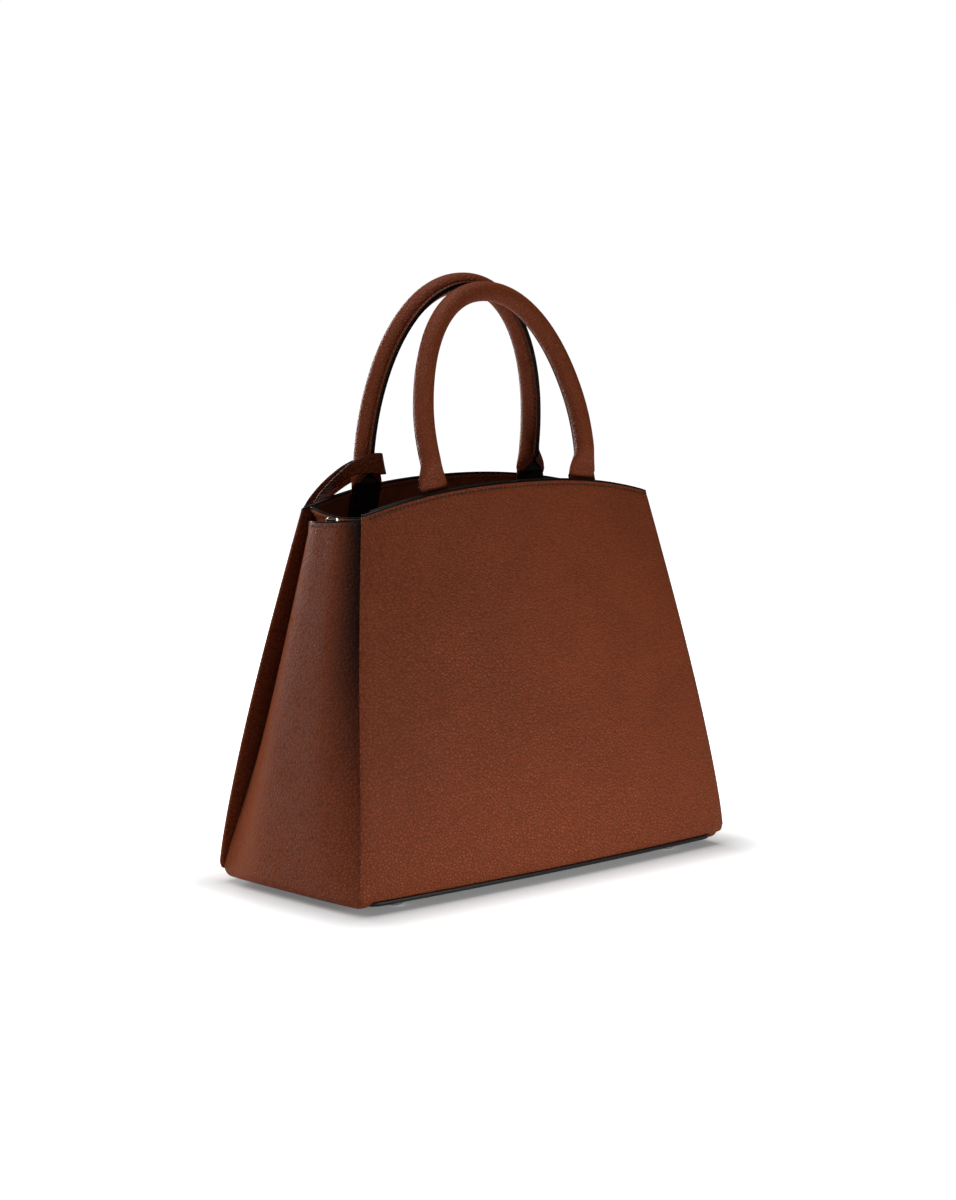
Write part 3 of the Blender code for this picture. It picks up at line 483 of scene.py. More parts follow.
def make_materials():
    """All finishes; their noises' scales are per metre."""
    look = looks()
    materials.update(
        leather=grained_leather(),
        facing=smooth_leather("smooth_leather", look.facing, 0.42, 0.55, 0.06 * mm),
        backing=smooth_leather("black_leather", look.backing, 0.34, 0.48, 0.08 * mm),
        cloth=twill("lining_twill", look.cloth, 1.0, 1.1 * mm, 0.12 * mm),
        tape=twill("zip_tape_weave", look.tape, 2.5, 0.9 * mm, 0.1 * mm),
        steel=metal("polished_steel", look.steel, 0.12, 0.2, 0.004 * mm),
        plated=metal("plated_steel", look.steel, 0.2, 0.3, 0.008 * mm),
        board=board_stock(),
        rope=strands("core_rope", (0.36, 0.33, 0.28), (0.62, 0.59, 0.53), 240.0, 1.5,
                     (0.95, 0.85), 0.4 * mm),
        thread=strands("sewing_thread", lit(look.thread, 0.6), lit(look.thread, 1.8), 1100.0,
                       0.5, (0.7, 0.5), 0.08 * mm))


SLOTS = {"leather": "grained_leather", "facing": "smooth_leather", "backing": "black_leather",
         "cloth": "lining_cloth", "tape": "zip_tape", "steel": "polished_metal",
         "plated": "plated_metal", "board": "board", "rope": "core_cord"}


def added(name, data):
    """New object with its data, put into the scene."""
    made = bpy.data.objects.new(name, data)
    bpy.context.scene.collection.objects.link(made)
    return made


def solid(name, points, faces, look, paint=None, fold=None, sharp=None, nodes=(), rides="root",
          slot=None):
    """Mesh from arrays of points and faces, turned outwards by the sign of its volume."""
    points = np.asarray(points, float).reshape(-1, 3)
    volume = 0.0
    for group in faces:
        for k in range(1, group.shape[1] - 1):
            volume += np.sum(points[group[:, 0]]
                             * np.cross(points[group[:, k]], points[group[:, k + 1]]))
    if volume < 0:
        faces = [group[:, ::-1] for group in faces]
    counts = np.concatenate([np.full(len(group), group.shape[1]) for group in faces])
    corners = np.concatenate([group.ravel() for group in faces])
    starts = np.concatenate([[0], np.cumsum(counts)[:-1]])
    mesh = bpy.data.meshes.new(name)
    mesh.vertices.add(len(points))
    mesh.vertices.foreach_set("co", points.astype(np.float32).ravel())
    mesh.loops.add(len(corners))
    mesh.loops.foreach_set("vertex_index", corners.astype(np.int32))
    mesh.polygons.add(len(counts))
    mesh.polygons.foreach_set("loop_start", starts.astype(np.int32))
    mesh.update(calc_edges=True)
    mesh.shade_smooth()
    if sharp is not None:
        mesh.set_sharp_from_angle(angle=math.radians(sharp))
    # paint marks the edge paint; fold carries the painted shade and painted highlight of a gusset's
    # folds.
    for key, values in (("paint", paint), ("fold", fold)):
        if values is not None:
            layer = mesh.attributes.new(key, 'FLOAT', 'POINT')
            layer.data.foreach_set("value", np.asarray(values, np.float32).ravel())
    mesh.materials.append(materials[look])
    piece = added(name, mesh)
    if nodes:
        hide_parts(*nodes)
    if rides:
        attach(piece, rides)
    slot or look in SLOTS
    return piece


def quads(rows, columns, wrap=False, closed=False):
    """Corner numbers of a grid's faces; wrap joins its last column, closed its last row."""
    i, j = np.meshgrid(np.arange(rows if closed else rows - 1),
                       np.arange(columns if wrap else columns - 1), indexing="ij")
    a, b = (i + 1) % rows, (j + 1) % columns
    return np.stack([i * columns + j, i * columns + b, a * columns + b, a * columns + j],
                    axis=-1).reshape(-1, 4)


def slab(name, outer, inner, look, paint=None, fold=None, **kind):
    """Closed solid between two grids that meet along their border."""
    rows, columns = outer.shape[:2]
    faces = quads(rows, columns)
    number = np.arange(rows * columns).reshape(rows, columns)
    back = number.copy()
    inside = np.arange((rows - 2) * (columns - 2)).reshape(rows - 2, columns - 2)
    back[1:-1, 1:-1] = rows * columns + inside
    points = np.concatenate([outer.reshape(-1, 3), inner[1:-1, 1:-1].reshape(-1, 3)])
    paint, fold = (None if values is None
                   else np.concatenate([values.ravel(), values[1:-1, 1:-1].ravel()])
                   for values in (paint, fold))
    return solid(name, points, [faces, back.ravel()[faces][:, ::-1]], look, paint, fold, **kind)


def loft(name, rings, look, closed=False, paint=None, **kind):
    """Closed solid through a row of rings; the end rings are capped, unless the row closes."""
    rings = np.asarray(rings, float)
    rows, columns = rings.shape[:2]
    faces = [quads(rows, columns, wrap=True, closed=closed)]
    if not closed:
        faces += [np.arange(columns)[None, ::-1], (rows - 1) * columns + np.arange(columns)[None]]
    return solid(name, rings, faces, look, paint, **kind)


def poled(rings, first, last):
    """Points and faces of a row of rings that closes at a pole at each end."""
    rows, sides = rings.shape[:2]
    ends, low = np.arange(sides), (rows - 1) * sides
    after = (ends + 1) % sides
    caps = [np.stack([after, ends, np.full(sides, rows * sides)], axis=-1),
            np.stack([low + ends, low + after, np.full(sides, rows * sides + 1)], axis=-1)]
    points = np.concatenate([rings.reshape(-1, 3), [first, last]])
    return points, [quads(rows, sides, wrap=True), np.concatenate(caps)]


def smooth(part):
    """Smooth step of a share, from 0 to 1."""
    part = np.clip(part, 0, 1)
    return part * part * (3 - 2 * part)


def powered(values, power):
    """Values raised to a power, with their signs kept."""
    return np.sign(values) * np.abs(values) ** power


def angles(count):
    """Directions spread evenly round a full turn."""
    return np.arange(count) * math.tau / count


def fading(distance, reach, width):
    """1 at an edge and 0 from its reach on; it fades over the last width."""
    return np.clip((reach - distance) / width, 0, 1)


def shoulder(distance, radius, power=2.0):
    """Rises from 0 at an edge to 1 a radius further in, along a superellipse."""
    lack = np.clip(1 - distance / radius, 0, 1)
    return (1 - lack ** power) ** (1 / power)


def spaced(total, low, high, count, extra=(), power=2.0):
    """Places from 0 to total, close together where both ends are rounded over."""
    bend = 1 - np.cos(np.linspace(0, math.pi / 2, BEND_STEPS)) ** (2 / power)
    places = np.sort(np.concatenate([low * bend, np.linspace(low, total - high, count),
                                     total - high * bend, np.asarray(extra, float)]))
    places = places[np.concatenate([[True], np.diff(places) > NEAREST])]
    places[-1] = total
    return places


def unit(vectors):
    return vectors / np.maximum(np.linalg.norm(vectors, axis=-1, keepdims=True), 1e-12)


def thicken(middle, thickness, rise, flip=False):
    """Outer and inner grids at half the thickness from a middle one, less where rise is below 1."""
    normal = unit(np.cross(np.gradient(middle, axis=0), np.gradient(middle, axis=1)))
    offset = normal * (rise * thickness / 2)[..., None] * (-1 if flip else 1)
    return middle + offset, middle - offset


def at_lengths(line, places, values):
    """Values given at a line's points, read at lengths along it."""
    way = way_along(line)
    return np.stack([np.interp(places, way, column) for column in values.T], axis=-1)


def resample(line, places):
    """Points at given lengths along a dense line."""
    return at_lengths(line, places, line)


def way_along(line):
    """Length from a line's start to each of its points."""
    steps = np.linalg.norm(np.diff(line, axis=0), axis=1)
    return np.concatenate([[0], np.cumsum(steps)])


def line_length(line):
    return float(way_along(line)[-1])


def hoops(line, first, second, reach, count):
    """Circles round a line's points, in the plane of two unit vectors at each."""
    turn = angles(count)[None, :, None]
    return line[:, None] + reach * (np.cos(turn) * first[:, None] + np.sin(turn) * second[:, None])


def pebble_template(half, radius, rows=4, sides=6, power=0.7):
    """Rounded rod along X: its radius follows a power of the sine, with a pole at each end."""
    turn = np.linspace(0, math.pi, rows + 2)[1:-1, None]
    around = angles(sides)
    x = np.repeat(half * powered(np.cos(turn), power), sides, 1)
    reach = radius * np.sin(turn) ** power
    rings = np.stack([x, reach * np.cos(around), reach * np.sin(around)], axis=-1)
    return poled(rings, [half, 0, 0], [-half, 0, 0])


def repeated(name, template, places, frames, look, **kind):
    """One mesh of many copies of a small shape, each with its place and three axes."""
    points, faces = template
    placed = places[:, None, :] + np.einsum("vk,nkc->nvc", points, frames)
    offset = (np.arange(len(places)) * len(points))[:, None, None]
    groups = [(group[None] + offset).reshape(-1, group.shape[1]) for group in faces]
    return solid(name, placed, groups, look, **kind)


def stitch_run(line, normals):
    """Places and axes of the stitches along a line that lies on a surface."""
    total = line_length(line)
    count = max(2, int(round(total / trim().pitch)))
    centres = (np.arange(count) + 0.5) * total / count
    upright = unit(at_lengths(line, centres, normals))
    ahead = unit(at_lengths(line, centres, np.gradient(line, axis=0)))
    ahead = unit(ahead - upright * np.sum(ahead * upright, axis=1, keepdims=True))
    slanted = ahead * math.cos(STITCH_SLANT) + np.cross(upright, ahead) * math.sin(STITCH_SLANT)
    return resample(line, centres), np.stack([slanted, np.cross(upright, slanted), upright], axis=1)


def stitches(name, runs, **kind):
    """All stitches of one piece as one mesh; each is a short rod sunk a little into its surface."""
    size = trim()
    found = [stitch_run(line, normals) for line, normals in runs]
    places = np.concatenate([spots for spots, _ in found])
    frames = np.concatenate([axes for _, axes in found])
    template = pebble_template(size.stitch / 2, size.thread)
    return repeated(name, template, places, frames, "thread", **kind)


def body_height():
    return body().corner_height - body().seat - body().clearance


def half_width(s):
    """Half the width at height share s: a straight line plus a half sine."""
    b = body()
    straight = b.base_width / 2 + (b.mouth_width - b.base_width) / 2 * s
    return straight + b.side_bulge * np.sin(math.pi * np.clip(s, 0, 1))


def half_depth(s):
    """Half the depth at height share s: a straight line plus a sine of the root of s."""
    b = body()
    straight = b.base_depth / 2 + (b.mouth_depth - b.base_depth) / 2 * s
    return straight + b.face_bulge * np.sin(math.pi * np.sqrt(np.clip(s, 0, 1)))


def surface(x, s, depth, side):
    """Point of a panel: a parabola bows it across, a power curve lifts the rim."""
    b = body()
    part = np.clip(np.abs(x) / half_width(s), 0, 1)
    z = b.seat + b.clearance + s * (body_height() + b.rim_rise * (1 - part ** b.rim_power))
    y = half_depth(s) + b.face_bow * (1 - part ** 2) - depth
    return np.stack(np.broadcast_arrays(x, side * y, z), axis=-1)


def share_at(x, z):
    """Height share at which a panel passes height z, found by stepping closer eight times."""
    x, z = np.broadcast_arrays(np.asarray(x, float), np.asarray(z, float))
    s = (z - body().seat) / body_height()
    for _ in range(8):
        s = s + (z - surface(x, s, 0, 1)[..., 2]) / body_height()
    return s


def panel_line(x, s, depth, side, out=1):
    """Line along a panel and its normals; out is -1 for those of its inner face."""
    return surface(x, s, depth, side), surface_normal(x, s, side) * out


def surface_normal(x, s, side):
    """Outward normal of a panel, from two short steps along it."""
    step = 1e-4
    along = surface(x + step, s, 0, side) - surface(x - step, s, 0, side)
    up = surface(x, s + step, 0, side) - surface(x, s - step, 0, side)
    return unit(np.cross(along, up)) * -side


def across(half, s, radius, count, extra=()):
    """Columns of a panel-like grid: X and the distance from the upright edges."""
    middle = float(half(0.5))
    more = [*extra, *(2 * middle - np.asarray(extra))]
    spots = spaced(2 * middle, radius, radius, count, more) - middle
    inset = middle - np.abs(spots)
    flat = inset > radius
    wide = half(s)[:, None]
    x = np.where(flat, spots / (middle - radius) * (wide - radius),
                 np.sign(spots) * (wide - inset))
    return x, np.where(flat, wide - np.abs(x), inset)


def layer_grid(side, half, low, high, depth, thickness, edge, rows=70, columns=90, extra=(),
               top_edge=None, top_power=2.0, swell=None, corner=0.0):
    """Outer and inner grids of a sheet that follows a panel, rounded over at its border.

    Its lower corners are rounded by drawing each square ring round a corner to a circle.
    """
    top_edge = top_edge or edge
    total = (high - low) * body_height()
    inner = corner * np.array(CORNER_SHARES if corner else ())
    drop = spaced(total, top_edge, edge, rows, [*extra, *(total - inner)], power=top_power)
    s = high - drop / body_height()
    x, from_side = across(half, s, edge, columns, inner)
    from_low = np.broadcast_to((total - drop)[:, None], x.shape)
    nearest = np.minimum(from_side, from_low)
    s = np.broadcast_to(s[:, None], x.shape)
    if corner:
        u, w = np.clip(1 - from_side / corner, 0, 1), np.clip(1 - from_low / corner, 0, 1)
        pull = 1 - np.maximum(u, w) / np.maximum(np.hypot(u, w), 1e-9)
        pull = np.where((u > 0) & (w > 0), pull, 0)
        x = x - np.sign(x) * u * pull * corner
        s = s + w * pull * corner / body_height()
    rise = shoulder(nearest, edge) * shoulder(drop, top_edge, top_power)[:, None]
    grids = []
    for sign in (-1, 1):
        deep = depth + thickness / 2 + sign * rise * thickness / 2
        if swell is not None:
            deep = deep + swell(x, drop, sign)
        grids.append(surface(x, s, deep, side))
    return (*grids, x, drop)


def painted(drop, x):
    """1 on the paint of a rim's edge and 0 from a little below it."""
    reach = body().rim_edge
    mask = fading(drop, reach * PAINT_END, reach * (PAINT_END - 1))
    return np.broadcast_to(mask[:, None], x.shape)


def flat_area(grid):
    """Area of a grid of points."""
    a, b, c, d = grid[:-1, :-1], grid[:-1, 1:], grid[1:, 1:], grid[1:, :-1]
    return float((np.linalg.norm(np.cross(b - a, c - a), axis=-1)
                  + np.linalg.norm(np.cross(c - a, d - a), axis=-1)).sum() / 2)


def cloth(piece, grid, held, rests):
    """Works out a cut sheet's mid rows' lengths and its own area, and does nothing with them."""
    lengths = np.linalg.norm(np.diff(grid, axis=1), axis=-1).sum(axis=1)
    heights = np.linalg.norm(np.diff(grid, axis=0), axis=-1).sum(axis=0)
    wide, high = float(lengths.max()), float(heights.max())
    min(flat_area(grid), wide * high)


def gusset_tuck(s):
    """Way of the gusset's edges inside the panel's edge: a parabola, eased out near the rim."""
    g = gusset()
    part = g.tuck_share
    slope, curve = np.linalg.solve([[part, part ** 2], [1, 1]],
                                   [g.tuck_middle - g.tuck_bottom, g.tuck_top - g.tuck_bottom])
    ease = np.clip((s - g.release_share) / (1 - g.release_share), 0, 1)
    return g.tuck_bottom + slope * s + curve * s ** 2 - (g.tuck_top - g.tuck_rim) * ease


def paint_rows():
    """Ways below a rim between which its edge paint ends."""
    return [body().rim_edge, body().rim_edge * PAINT_END]


def between_gussets(gap):
    """Half the width between the gussets' inner faces, less a gap, for any height share."""
    return lambda s: half_width(s) - gusset_tuck(s) - gusset().thickness - gap


def rim_run(side, drop, inset=4 * mm, depth=0.0, out=1):
    """Line and normals a way below the rim of a panel."""
    s = 1 - drop / body_height()
    reach = float(half_width(s)) - inset
    return panel_line(np.linspace(-reach, reach, 400), s, depth, side, out)


def make_panels():
    """Two slabs between the panel surface and the one a panel's thickness behind it.

    A shallow groove runs under the stitches, the strip above them swells a little, and the
    border rolls inwards.
    """
    b = body()
    groove_depth, groove_half, lip, lip_width = 0.22 * mm, 0.5 * mm, 0.18 * mm, 1.2 * mm

    def swell(x, drop, sign):
        groove = groove_depth * np.exp(-((drop - b.stitch_drop) / groove_half) ** 2)
        raised = lip * shoulder(drop, lip_width) * np.clip(1 - drop / b.stitch_drop, 0, 1)
        s = (1 - drop / body_height())[:, None]
        nearest = np.minimum(half_width(s) - np.abs(x), s * body_height())
        roll = (b.roll * np.clip(1 - nearest / b.roll_reach, 0, 1) ** 2
                * shoulder(nearest, b.panel / 2))
        return ((groove - raised)[:, None] + roll) * (sign < 0)

    beside_stitches = b.stitch_drop + np.linspace(-lip_width, lip_width, 9)
    for name, side in PANELS:
        outer, inner, x, drop = layer_grid(side, half_width, 0, 1, 0, b.panel, b.panel / 2,
                                           rows=90, columns=110,
                                           extra=[*beside_stitches, *paint_rows()],
                                           top_edge=1.1 * mm, top_power=RIM_POWER, swell=swell,
                                           corner=b.corner)
        slab(f"{name}_panel_leather", outer, inner, "leather", painted(drop, x),
             nodes=[f"{name}_panel"])
        stitches(f"{name}_rim_stitches", [rim_run(side, b.stitch_drop)],
                 slot="grained_leather")


def make_facings():
    """Smooth leather strips inside the rim, with a stitched lower edge."""
    b = body()
    low = 1 - b.facing_height / body_height()
    glue, seam = 0.02 * mm, 2.2 * mm
    deep = b.panel + b.facing + b.clearance
    for name, side in PANELS:
        outer, inner, x, drop = layer_grid(side, between_gussets(2 * b.clearance), low, 1,
                                           b.panel + glue, b.facing + b.clearance - glue,
                                           b.facing / 2, rows=24, columns=90,
                                           extra=paint_rows(), top_power=RIM_POWER)
        slab(f"{name}_facing_leather", outer, inner, "facing", painted(drop, x),
             nodes=[f"{name}_facing"])
        runs = [rim_run(side, fall, inset=12 * mm, depth=deep, out=-1)
                for fall in (b.stitch_drop, b.facing_height - seam)]
        stitches(f"{name}_facing_stitches", runs, slot="smooth_leather")


def make_linings():
    """Twill sheets inside the panels and gussets and on the floor."""
    b, g = body(), gusset()
    board, washer = 2 * mm, 1 * mm
    floor = b.seat + board + washer + 3 * b.clearance
    low = float(share_at(0, floor + b.clearance))
    top = 1 - (b.facing_height + b.clearance) / body_height()
    for name, side in PANELS:
        outer, inner, _, _ = layer_grid(side, between_gussets(b.lining + 3 * b.clearance), low,
                                        top, b.lining_depth - b.lining, b.lining, b.lining / 2,
                                        rows=50, columns=60)
        piece = slab(f"{name}_lining_cloth", outer, inner, "cloth", nodes=[f"{name}_lining"])
        cloth(piece, (outer + inner) / 2, "stretched", [f"{name}_stiffener"])
    side_low = (floor + b.clearance - b.seat) / body_height()
    side_top = 1 - (g.band_height + b.clearance) / body_height()
    for name, side in ENDS:
        outer, inner, _, _ = gusset_grid(side, side_low, side_top, b.lining, rows=50, columns=41,
                                         depth=g.thickness + b.clearance,
                                         margin=b.lining_depth - b.panel + b.clearance)
        piece = slab(f"{name}_lining_cloth", outer, inner, "cloth", nodes=[f"{name}_lining"])
        cloth(piece, (outer + inner) / 2, "stretched", [f"{name}_gusset"])
    side_gap, wave, wave_x, wave_y = 1.5 * mm, 0.12 * mm, 90, 110
    reach_x = float(between_gussets(b.lining + side_gap)((floor + b.lining - b.seat)
                                                         / body_height()))
    reach_y = b.base_depth / 2 - b.lining_depth - b.clearance
    u = np.linspace(-1, 1, 60)[:, None] * reach_x
    half_y = reach_y + b.face_bow * (1 - (u / (b.base_width / 2)) ** 2)
    v = np.linspace(-1, 1, 30)[None] * half_y
    rise = (shoulder(reach_x - np.abs(u), b.lining / 2)
            * shoulder(half_y - np.abs(v), b.lining / 2))
    sag = wave * np.sin(u * wave_x) * np.sin(v * wave_y)
    above, below = (np.stack(np.broadcast_arrays(
        u, v, floor + b.lining * (0.5 + sign * rise / 2) + sag), axis=-1) for sign in (1, -1))
    piece = slab("floor_lining_cloth", above, below, "cloth", nodes=["floor_lining"])
    cloth(piece, (above + below) / 2, "laid", ["base_board"])


def gusset_point(side, v, s, depth, margin):
    """Point of a gusset: it swells in the middle and turns in beside each panel by a power."""
    g, even_from = gusset(), 0.9
    swell = g.bulge * s
    even = np.clip((s - even_from) / (1 - even_from), 0, 1)
    tuck = gusset_tuck(s) * np.where(v < 0, g.groove + (1 - g.groove) * even, 1)
    x = half_width(s) + swell - (tuck + swell) * np.abs(v) ** g.power - depth
    y = v * (half_depth(s) - body().panel - margin)
    z = body().seat + body().clearance + s * body_height()
    return np.stack(np.broadcast_arrays(side * x, y, z), axis=-1)


def dipped(s, v, fall):
    """Height share lowered by a dip in the middle and a tilt, above the band's lower edge."""
    dip, tilt = fall
    growth = np.clip(1 - (1 - s) * body_height() / gusset().band_height, 0, 1)
    return s - (dip * (1 - v ** 2) + tilt * v) / body_height() * growth


def turned_in(v, reach, radius):
    """How far a band's ends have turned inwards, on a quarter circle."""
    if not radius:
        return 0.0
    part = np.clip((np.abs(v) * reach - reach + radius) / radius, 0, 1)
    return radius * (1 - np.sqrt(1 - part ** 2))


def flared(v, s, flare):
    """How far a band stands out at its rear end, growing over the last way to the rim."""
    return (flare * np.clip(v, 0, 1) ** gusset().power
            * smooth(1 - (1 - s) * body_height() / FLARE_REACH))


def standing(v, s, reach, depth, gap, corner, flare):
    """How far inside the gusset a sheet stands; a gap closes towards the sheet's ends."""
    return (depth + gap * (1 - np.abs(v) ** gusset().power) + turned_in(v, reach, corner)
            - flared(v, s, flare))


def gusset_grid(side, low, high, thickness, depth, margin, rows=80, columns=61, dip=(0.0, 0.0),
                gap=0.0, extra=(), top_power=2.0, fold=0.0, flap=0.0, corner=0.0, flare=0.0):
    """Outer and inner grids of a sheet that follows a gusset; the gap closes at its ends.

    A fold carries the sheet on below its lower end: a quarter circle, then a flat flap; its
    corners rise with the panels' rounded ones. A corner radius turns the sheet's ends inwards.
    """
    upright = (high - low) * body_height()
    quarter = fold * math.pi / 2
    total = upright + quarter + flap
    edge = thickness / 2
    bend = upright + quarter * np.linspace(0, 1, 9) if fold else np.zeros(0)
    drop = spaced(total, edge, edge, rows, [*extra, *bend], power=top_power)
    v = np.sin(np.linspace(-math.pi / 2, math.pi / 2, columns))[None]
    s = dipped((high - np.minimum(drop, upright) / body_height())[:, None], v, dip)
    reach = half_depth(s) - body().panel - margin
    if fold:
        lift = turned_in(v, reach, body().corner) / body_height()
        s = s + lift * np.clip(1 - s * body_height() / (4 * body().corner), 0, 1) ** 2
    rise = (shoulder((1 - np.abs(v)) * reach, edge) * shoulder(drop, edge, top_power)[:, None]
            * shoulder(total - drop, edge)[:, None])
    apart = standing(v, s, reach, depth, gap, corner, flare)
    middle = gusset_point(side, v, s, apart + thickness / 2, margin)
    past = drop - upright
    turn = np.clip(past / max(fold, 1e-9), 0, math.pi / 2) * (fold > 0)
    middle[..., 0] -= side * (fold * (1 - np.cos(turn)) + np.clip(past - quarter, 0, None))[:, None]
    middle[..., 2] -= (fold * np.sin(turn))[:, None]
    outer, inner = thicken(middle, thickness, rise, flip=side < 0)
    return outer, inner, np.broadcast_to(v, s.shape), drop


def gusset_run(side, high, fall, depth, margin, dip, reach=0.93, gap=0.0, corner=0.0, flare=0.0,
               out=1):
    """Line and normals a way below a gusset sheet's top edge."""
    count, step = 300, 0.002
    v = np.linspace(-reach, reach, count)
    s = dipped(np.full(count, high - fall / body_height()), v, dip)
    wide = half_depth(s) - body().panel - margin
    apart = standing(v, s, wide, depth, gap, corner, flare)
    line = gusset_point(side, v, s, apart, margin)
    lower = gusset_point(side, v, s - step, apart, margin)
    normals = unit(np.cross(np.gradient(line, axis=0), line - lower))
    return line, normals * np.sign(normals[count // 2, 0]) * side * out


def shade_of_fold(v, s):
    """0 on the gusset's middle, 1 for painted shade in the groove by the front panel, -1 for a
    painted highlight on the crest.
    """
    painted_highlight = np.exp(-((v - 0.7) / 0.22) ** 2)
    return smooth((-v - 0.3) / 0.55) * smooth((s - 0.2) / 0.55)[:, None] - painted_highlight


def make_gussets():
    """Side leathers with a painted, stitched top edge, and the smooth bands inside them."""
    b, g = body(), gusset()
    high = 1 - g.drop / body_height()
    band_low = 1 - g.band_height / body_height()
    band_depth = g.thickness + 2 * b.clearance
    leather = {"depth": 0, "margin": b.clearance, "dip": (g.dip, g.tilt)}
    band = {"margin": b.facing + 2 * b.clearance, "dip": (g.band_dip, g.band_tilt),
            "gap": g.slot, "corner": g.band_corner, "flare": g.flare}
    for name, side in ENDS:
        outer, inner, v, drop = gusset_grid(side, 0, high, g.thickness, extra=paint_rows(),
                                            top_power=RIM_POWER, fold=g.fold, flap=g.flap,
                                            **leather)
        slab(f"{name}_gusset_leather", outer, inner, "leather", painted(drop, v),
             shade_of_fold(v, high - drop / body_height()), nodes=[f"{name}_gusset"])
        stitches(f"{name}_gusset_stitches",
                 [gusset_run(side, high, b.stitch_drop, reach=0.97, **leather)],
                 slot="grained_leather")
        outer, inner, v, drop = gusset_grid(side, band_low, 1, g.band, band_depth, rows=24,
                                            extra=paint_rows(), **band)
        slab(f"{name}_band_leather", outer, inner, "facing", painted(drop, v),
             nodes=[f"{name}_gusset_band"])
        runs = [gusset_run(side, 1, b.stitch_drop, band_depth, **band),
                gusset_run(side, 1, b.stitch_drop, band_depth + g.band, reach=0.9, out=-1,
                           **band)]
        stitches(f"{name}_band_stitches", runs, slot="smooth_leather")


def bowed_outline(half_x, half_y, radius):
    """Rounded rectangle whose long sides bow outwards as a parabola."""
    outline = rounded_outline(half_x, half_y, radius, steps=9, sides=(24, 0))
    bow = body().face_bow * (1 - (outline[:, 0] / (body().base_width / 2)) ** 2)
    outline[:, 1] += np.sign(outline[:, 1]) * bow
    return outline


def flat_ring(outline, y, middle):
    """An outline stood upright, facing along Y, a way y from a middle point."""
    return np.column_stack([outline[:, 0], np.full(len(outline), y), outline[:, 1]]) + middle


def make_bottom():
    """Black bottom slab: its outline is drawn in along a quarter circle above and below."""
    b = body()
    edge, thickness, corner, seam = 1 * mm, BOTTOM, 9 * mm, 4 * mm
    half_x, half_y = b.base_width / 2 - corner, b.base_depth / 2 - edge
    low, high = b.seat - thickness, b.seat
    turns = np.linspace(0, math.pi / 2, 6)
    steps = [(low + edge * (1 - math.sin(a)), edge * (1 - math.cos(a))) for a in turns[::-1]]
    steps += [(high - edge * (1 - math.sin(a)), edge * (1 - math.cos(a))) for a in turns]
    rings = []
    for z, inset in steps:
        outline = bowed_outline(half_x - inset, half_y - inset, corner - inset)
        rings.append(np.column_stack([outline, np.full(len(outline), z)]))
    loft("base_panel_leather", rings, "backing", nodes=["base_panel"])
    outline = bowed_outline(half_x - seam, half_y - seam, corner - seam)
    line = np.column_stack([outline, np.full(len(outline), low)])
    line = np.concatenate([line, line[:1]])
    stitches("base_panel_stitches", [(line, np.tile([0.0, 0.0, -1.0], (len(line), 1)))],
             slot="black_leather")


def lathe(name, profile, place, look, tilt=0.0, **kind):
    """Profile of radius and height turned about Z, closed at a pole at each end, then tilted."""
    profile = np.asarray(profile, float)
    around = angles(48)
    radius, height = profile[1:-1, :1], profile[1:-1, 1:]
    rings = np.stack([radius * np.cos(around), radius * np.sin(around),
                      np.repeat(height, len(around), 1)], axis=-1)
    points, faces = poled(rings, [0, 0, profile[0, 1]], [0, 0, profile[-1, 1]])
    turn = np.array([[1, 0, 0], [0, math.cos(tilt), -math.sin(tilt)],
                     [0, math.sin(tilt), math.cos(tilt)]])
    return solid(name, points @ turn.T + np.array(place), faces, look, **kind)


def make_feet():
    """Domed metal feet: a quarter-ellipse dome under a short rim, and a stem."""
    size, b = trim(), body()
    flat, stem, rim, bevel, board = 2.2 * mm, 1.5 * mm, 0.5 * mm, 0.3 * mm, 3 * mm
    top = b.seat - BOTTOM - b.clearance
    head = b.seat + b.clearance + board
    wide = size.foot_radius
    dome = [(flat + (wide - flat) * math.sin(a), (top - rim) * (1 - math.cos(a)))
            for a in np.linspace(0, math.pi / 2, 14)]
    profile = [(0, 0), *dome, (wide, top - bevel), (wide - bevel, top), (stem, top),
               (stem, head), (0, head)]
    for (end, sy), (hand, sx) in itertools.product(PANELS, ENDS):
        lathe(f"{end}_{hand}_foot_stud", profile, (sx * size.foot_x, sy * size.foot_y, 0),
              "steel", sharp=50, nodes=[f"{end}_{hand}_foot"])


def handle_span(side):
    """Half the width of a handle, how far its feet are drawn in, and its height."""
    h = handle()
    if side < 0:
        return h.front_span, h.front_tuck, h.front_rise
    return h.rear_span, h.rear_tuck, h.rear_rise


def hinge_place(side):
    """X, Y and Z of a handle's foot at its hinge."""
    h = handle()
    span, tuck, _ = handle_span(side)
    x = span - tuck
    rim = surface(np.array(x), np.array(1.0), h.foot_depth_in, 1)
    return x, float(rim[1]), float(rim[2]) + h.above_rim


def handle_centre(side, lean):
    """Centre line from foot to foot: a superellipse with its feet drawn in, leant inwards."""
    h = handle()
    turn = np.linspace(0, math.pi, 1441)
    span, tuck, high = handle_span(side)
    rise = high * np.abs(np.sin(turn)) ** (2 / h.rise_power)
    low = np.clip(1 - rise / (h.tuck_share * high), 0, 1)
    sideways = (np.sign(np.cos(turn)) * tuck * low ** 2
                - span * powered(np.cos(turn), 2 / h.span_power))
    _, y, z = hinge_place(side)
    out = h.set_out * smooth(rise / h.foot)
    return np.stack([sideways, side * (y + out - rise * math.sin(lean)),
                     z + rise * math.cos(lean)], axis=-1)


